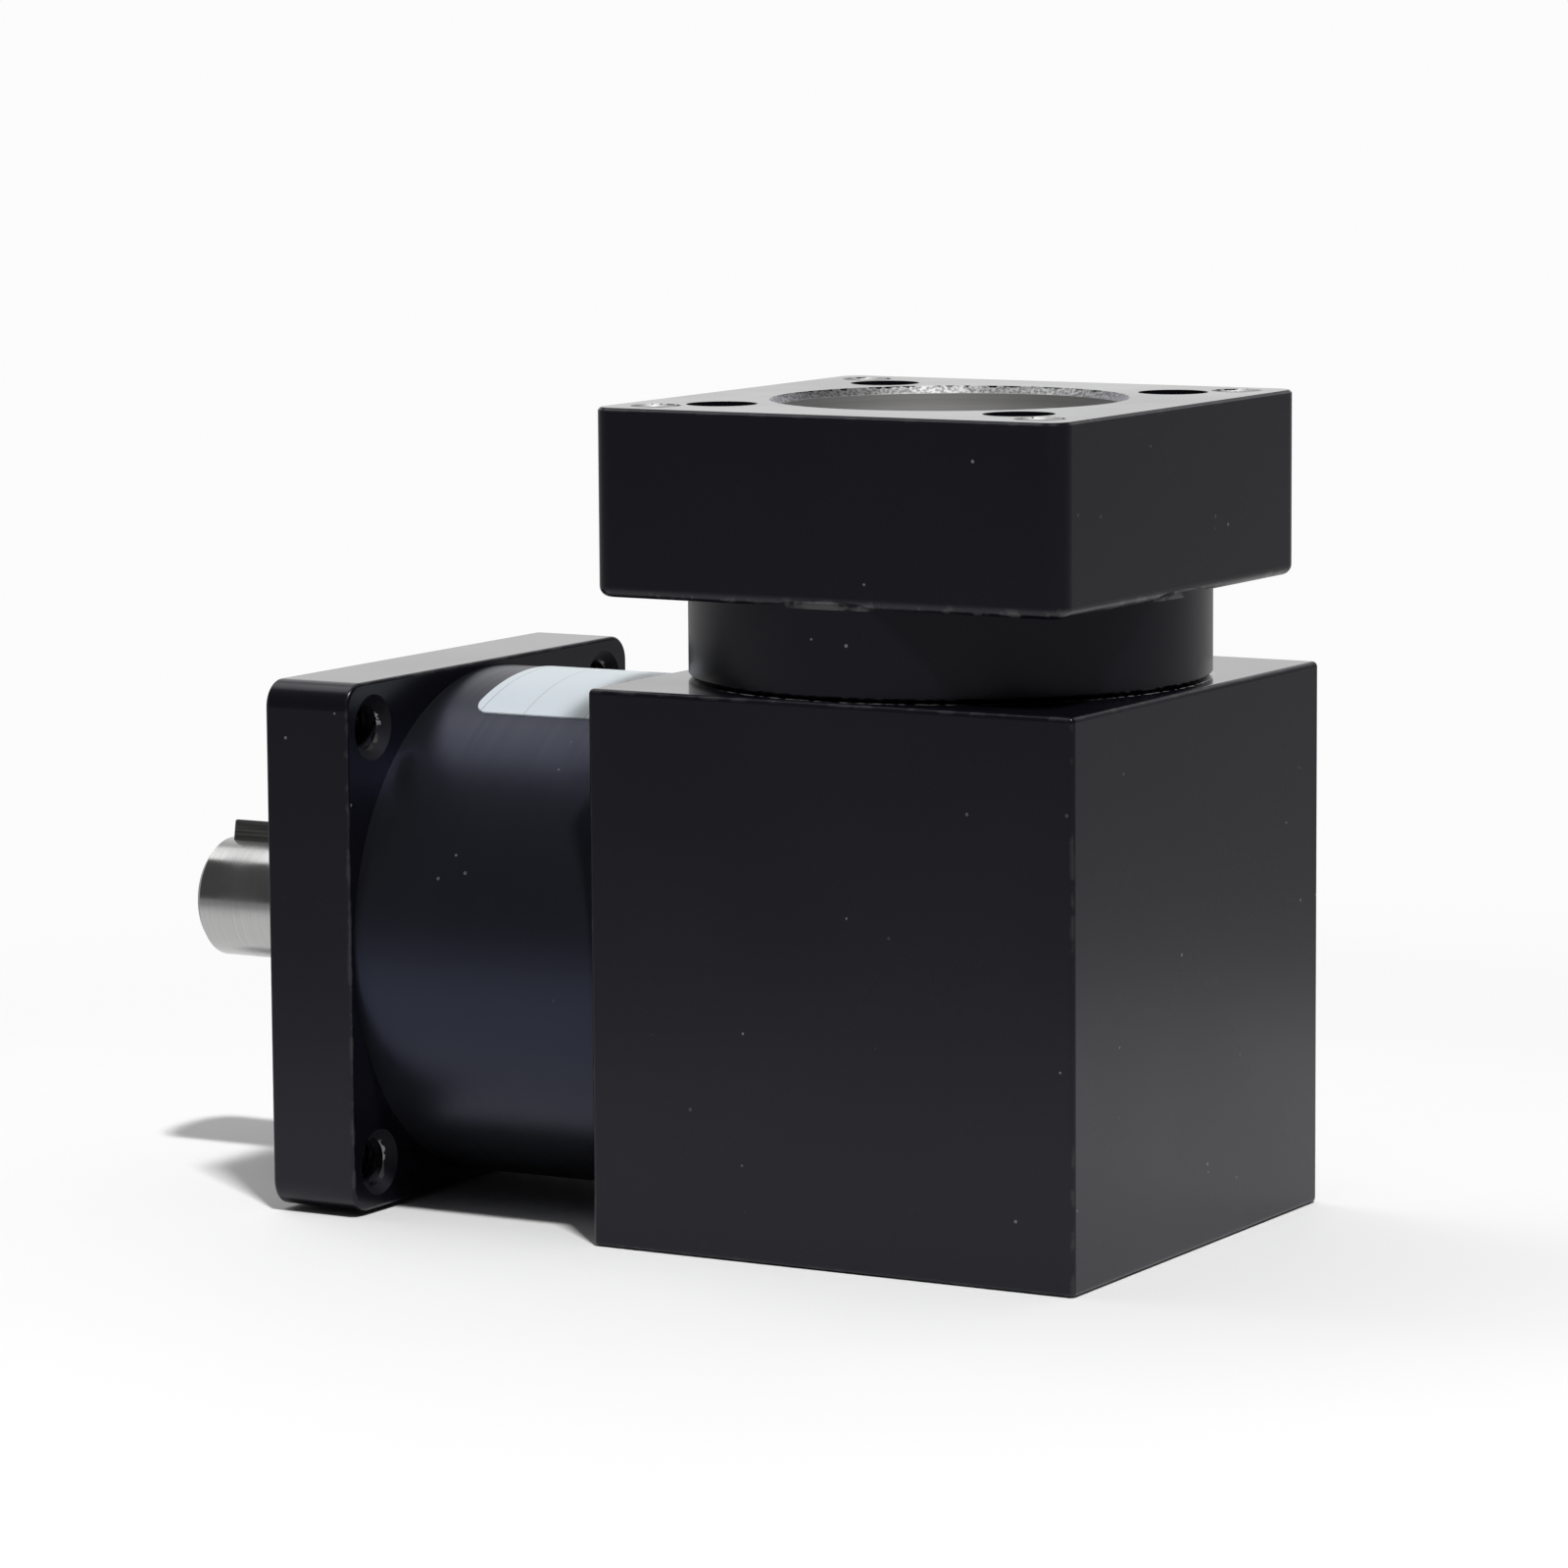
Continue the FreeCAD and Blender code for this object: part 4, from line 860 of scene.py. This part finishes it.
def dress_bearings():
    """Materials on balls, races, cages, needles and the pins that the needles run on."""
    ground = {"light": 0.62, "dark": 0.54, "pitch": 0.05 * MM, "rough": 0.18, "warm": 0.0, "strength": 0.08}
    across = turned_metal("race_steel", upright=False, **ground)
    upright = turned_metal("input_race_steel", upright=True, **ground)
    cage = turned_metal("cage_steel", light=0.44, dark=0.34, pitch=0.20 * MM, rough=0.34, upright=False,
                        strength=0.04)
    for name in nodes:
        if name.endswith(("_race", "_balls")):
            give([name], upright if name.startswith("input_") else across)
        if name.endswith("_cage"):
            give([name], cage)
        if name.startswith("planet_needles_") or name == "planet_pins":
            give([name], across)


# Stage

def ray_masks(tree):
    """Masks of the rays that come from the camera, and of those that a mirror or glass sends on."""
    path = put(tree, "ShaderNodeLightPath").outputs
    return path["Is Camera Ray"], calc(tree, "MAXIMUM", path["Is Glossy Ray"], path["Is Transmission Ray"])


def pale_floor():
    """White sheet on a grey table: to the eye it is white all over, reflections show where it ends."""
    start_clean()
    bpy.ops.mesh.primitive_circle_add(vertices=round_sides, radius=floor_radius, fill_type="NGON",
                                      location=(input_axis.x, 0, cad_low.z))
    floor = bpy.context.object
    floor.name = "floor"
    material, tree, shader, coords = new_material("pale_table")
    camera_ray, mirrored = ray_masks(tree)
    beyond = ramp(tree, vector_calc(tree, "LENGTH", coords), sheet_radius, table_radius)
    table = calc(tree, "MULTIPLY", beyond, calc(tree, "SUBTRACT", 1.0, camera_ray))
    sheet = blend(tree, noise(tree, coords, scale=9.0, detail=4.0), colour(0.86), colour(0.90))
    tree.links.new(blend(tree, table, sheet, colour(table_grey)), shader.inputs["Base Color"])
    shader.inputs["Roughness"].default_value = 0.7
    shader.inputs["Specular IOR Level"].default_value = 0.2
    seen = calc(tree, "MAXIMUM", camera_ray, calc(tree, "MULTIPLY", mirrored, table_grey))
    glow = put(tree, "ShaderNodeEmission", {"Color": colour(white_wall), "Strength": 1.0})
    share = calc(tree, "MULTIPLY", beyond, seen)
    mixed = put(tree, "ShaderNodeMixShader", {0: share, 1: shader.outputs[0], 2: glow.outputs[0]})
    tree.links.new(mixed.outputs[0], tree.nodes["Material Output"].inputs["Surface"])
    floor.data.materials.append(material)


def white_room():
    """World: white to the eye; to the object, a white wall behind it and a dim room facing it."""
    world = bpy.data.worlds.new("white_room")
    bpy.context.scene.world = world
    world.use_nodes = True
    tree = world.node_tree
    tree.nodes.clear()
    camera_ray, mirrored = ray_masks(tree)
    direction = put(tree, "ShaderNodeTexCoord").outputs["Generated"]
    at_wall = ramp(tree, vector_calc(tree, "DOT_PRODUCT", direction, wall_side), 0.50, 0.85)
    overhead = ramp(tree, vector_calc(tree, "DOT_PRODUCT", direction, ceiling_side), 0.10, 0.70)
    shades = {
        "fill": blend(tree, overhead, colour(soft_shade), colour(soft_light)),
        "mirror": blend(tree, at_wall, colour(dim_room), colour(white_wall)),
        "eye": colour(white_wall),
    }
    light = {}
    for name, shade in shades.items():
        light[name] = put(tree, "ShaderNodeBackground", {"Color": shade, "Strength": 1.0}).outputs[0]
    lit = put(tree, "ShaderNodeMixShader", {0: mirrored, 1: light["fill"], 2: light["mirror"]})
    mixed = put(tree, "ShaderNodeMixShader", {0: camera_ray, 1: lit.outputs[0], 2: light["eye"]})
    put(tree, "ShaderNodeOutputWorld", {"Surface": mixed.outputs[0]})


def area_lamp(name, place, target, size, watts):
    start_clean()
    bpy.ops.object.light_add(type="AREA", location=place)
    lamp = bpy.context.object
    lamp.name = name
    lamp.data.shape = "SQUARE"
    lamp.data.size = size
    lamp.data.energy = watts
    lamp.rotation_euler = (target - place).to_track_quat("-Z", "Y").to_euler()


def studio():
    middle = (cad_low + cad_high) / 2
    area_lamp("key_lamp", key_distance * key_direction, middle, key_size, key_watts)
    area_lamp("top_lamp", middle + top_distance * top_direction, middle, top_size, top_watts)
    pale_floor()
    white_room()


def photo_camera():
    """Camera at the place that the photograph was taken from."""
    heading = math.radians(camera_heading)
    drop = math.radians(camera_drop)
    roll = math.radians(camera_roll)
    level = math.cos(drop)
    back = Vector((math.sin(heading) * level, -math.cos(heading) * level, math.sin(drop)))
    right = Vector((0, 0, 1)).cross(back).normalized()
    up = back.cross(right)
    tilted_right = right * math.cos(roll) + up * math.sin(roll)
    tilted_up = up * math.cos(roll) - right * math.sin(roll)
    turn = Matrix((tilted_right, tilted_up, back)).transposed().to_4x4()
    start_clean()
    bpy.ops.object.camera_add()
    camera = bpy.context.object
    camera.matrix_world = Matrix.Translation(camera_place) @ turn
    camera.data.sensor_width = sensor_width
    camera.data.lens = focal_pixels / picture_pixels * sensor_width
    camera.data.clip_end = camera_reach
    bpy.context.scene.camera = camera


dress_casing()
dress_drive()
dress_bearings()
key_steel = drawn_key_steel()
give(["output_key", "bevel_key"], key_steel)
screw_black = black_screw()
give(["access_plug", "housing_screws", "cartridge_screws", "motor_flange_screws", "bevel_nut", "clamp_screw"],
     screw_black)
rubber = seal_rubber()
give(["output_seal", "barrel_o_ring", "input_o_ring"], rubber)
thread_metal = tapped_metal()

screw_group("output_screws", "housing_screws", along_x=True, material=screw_black)
screw_group("motor_screws", "motor_flange_screws", along_x=False, material=screw_black)
threads_in_mount_holes(thread_metal)
threads_in_motor_holes(thread_metal)
shaft_seal(rubber)
shaft_key(key_steel)
studio()
photo_camera()
bpy.context.scene.view_settings.view_transform = "Standard"
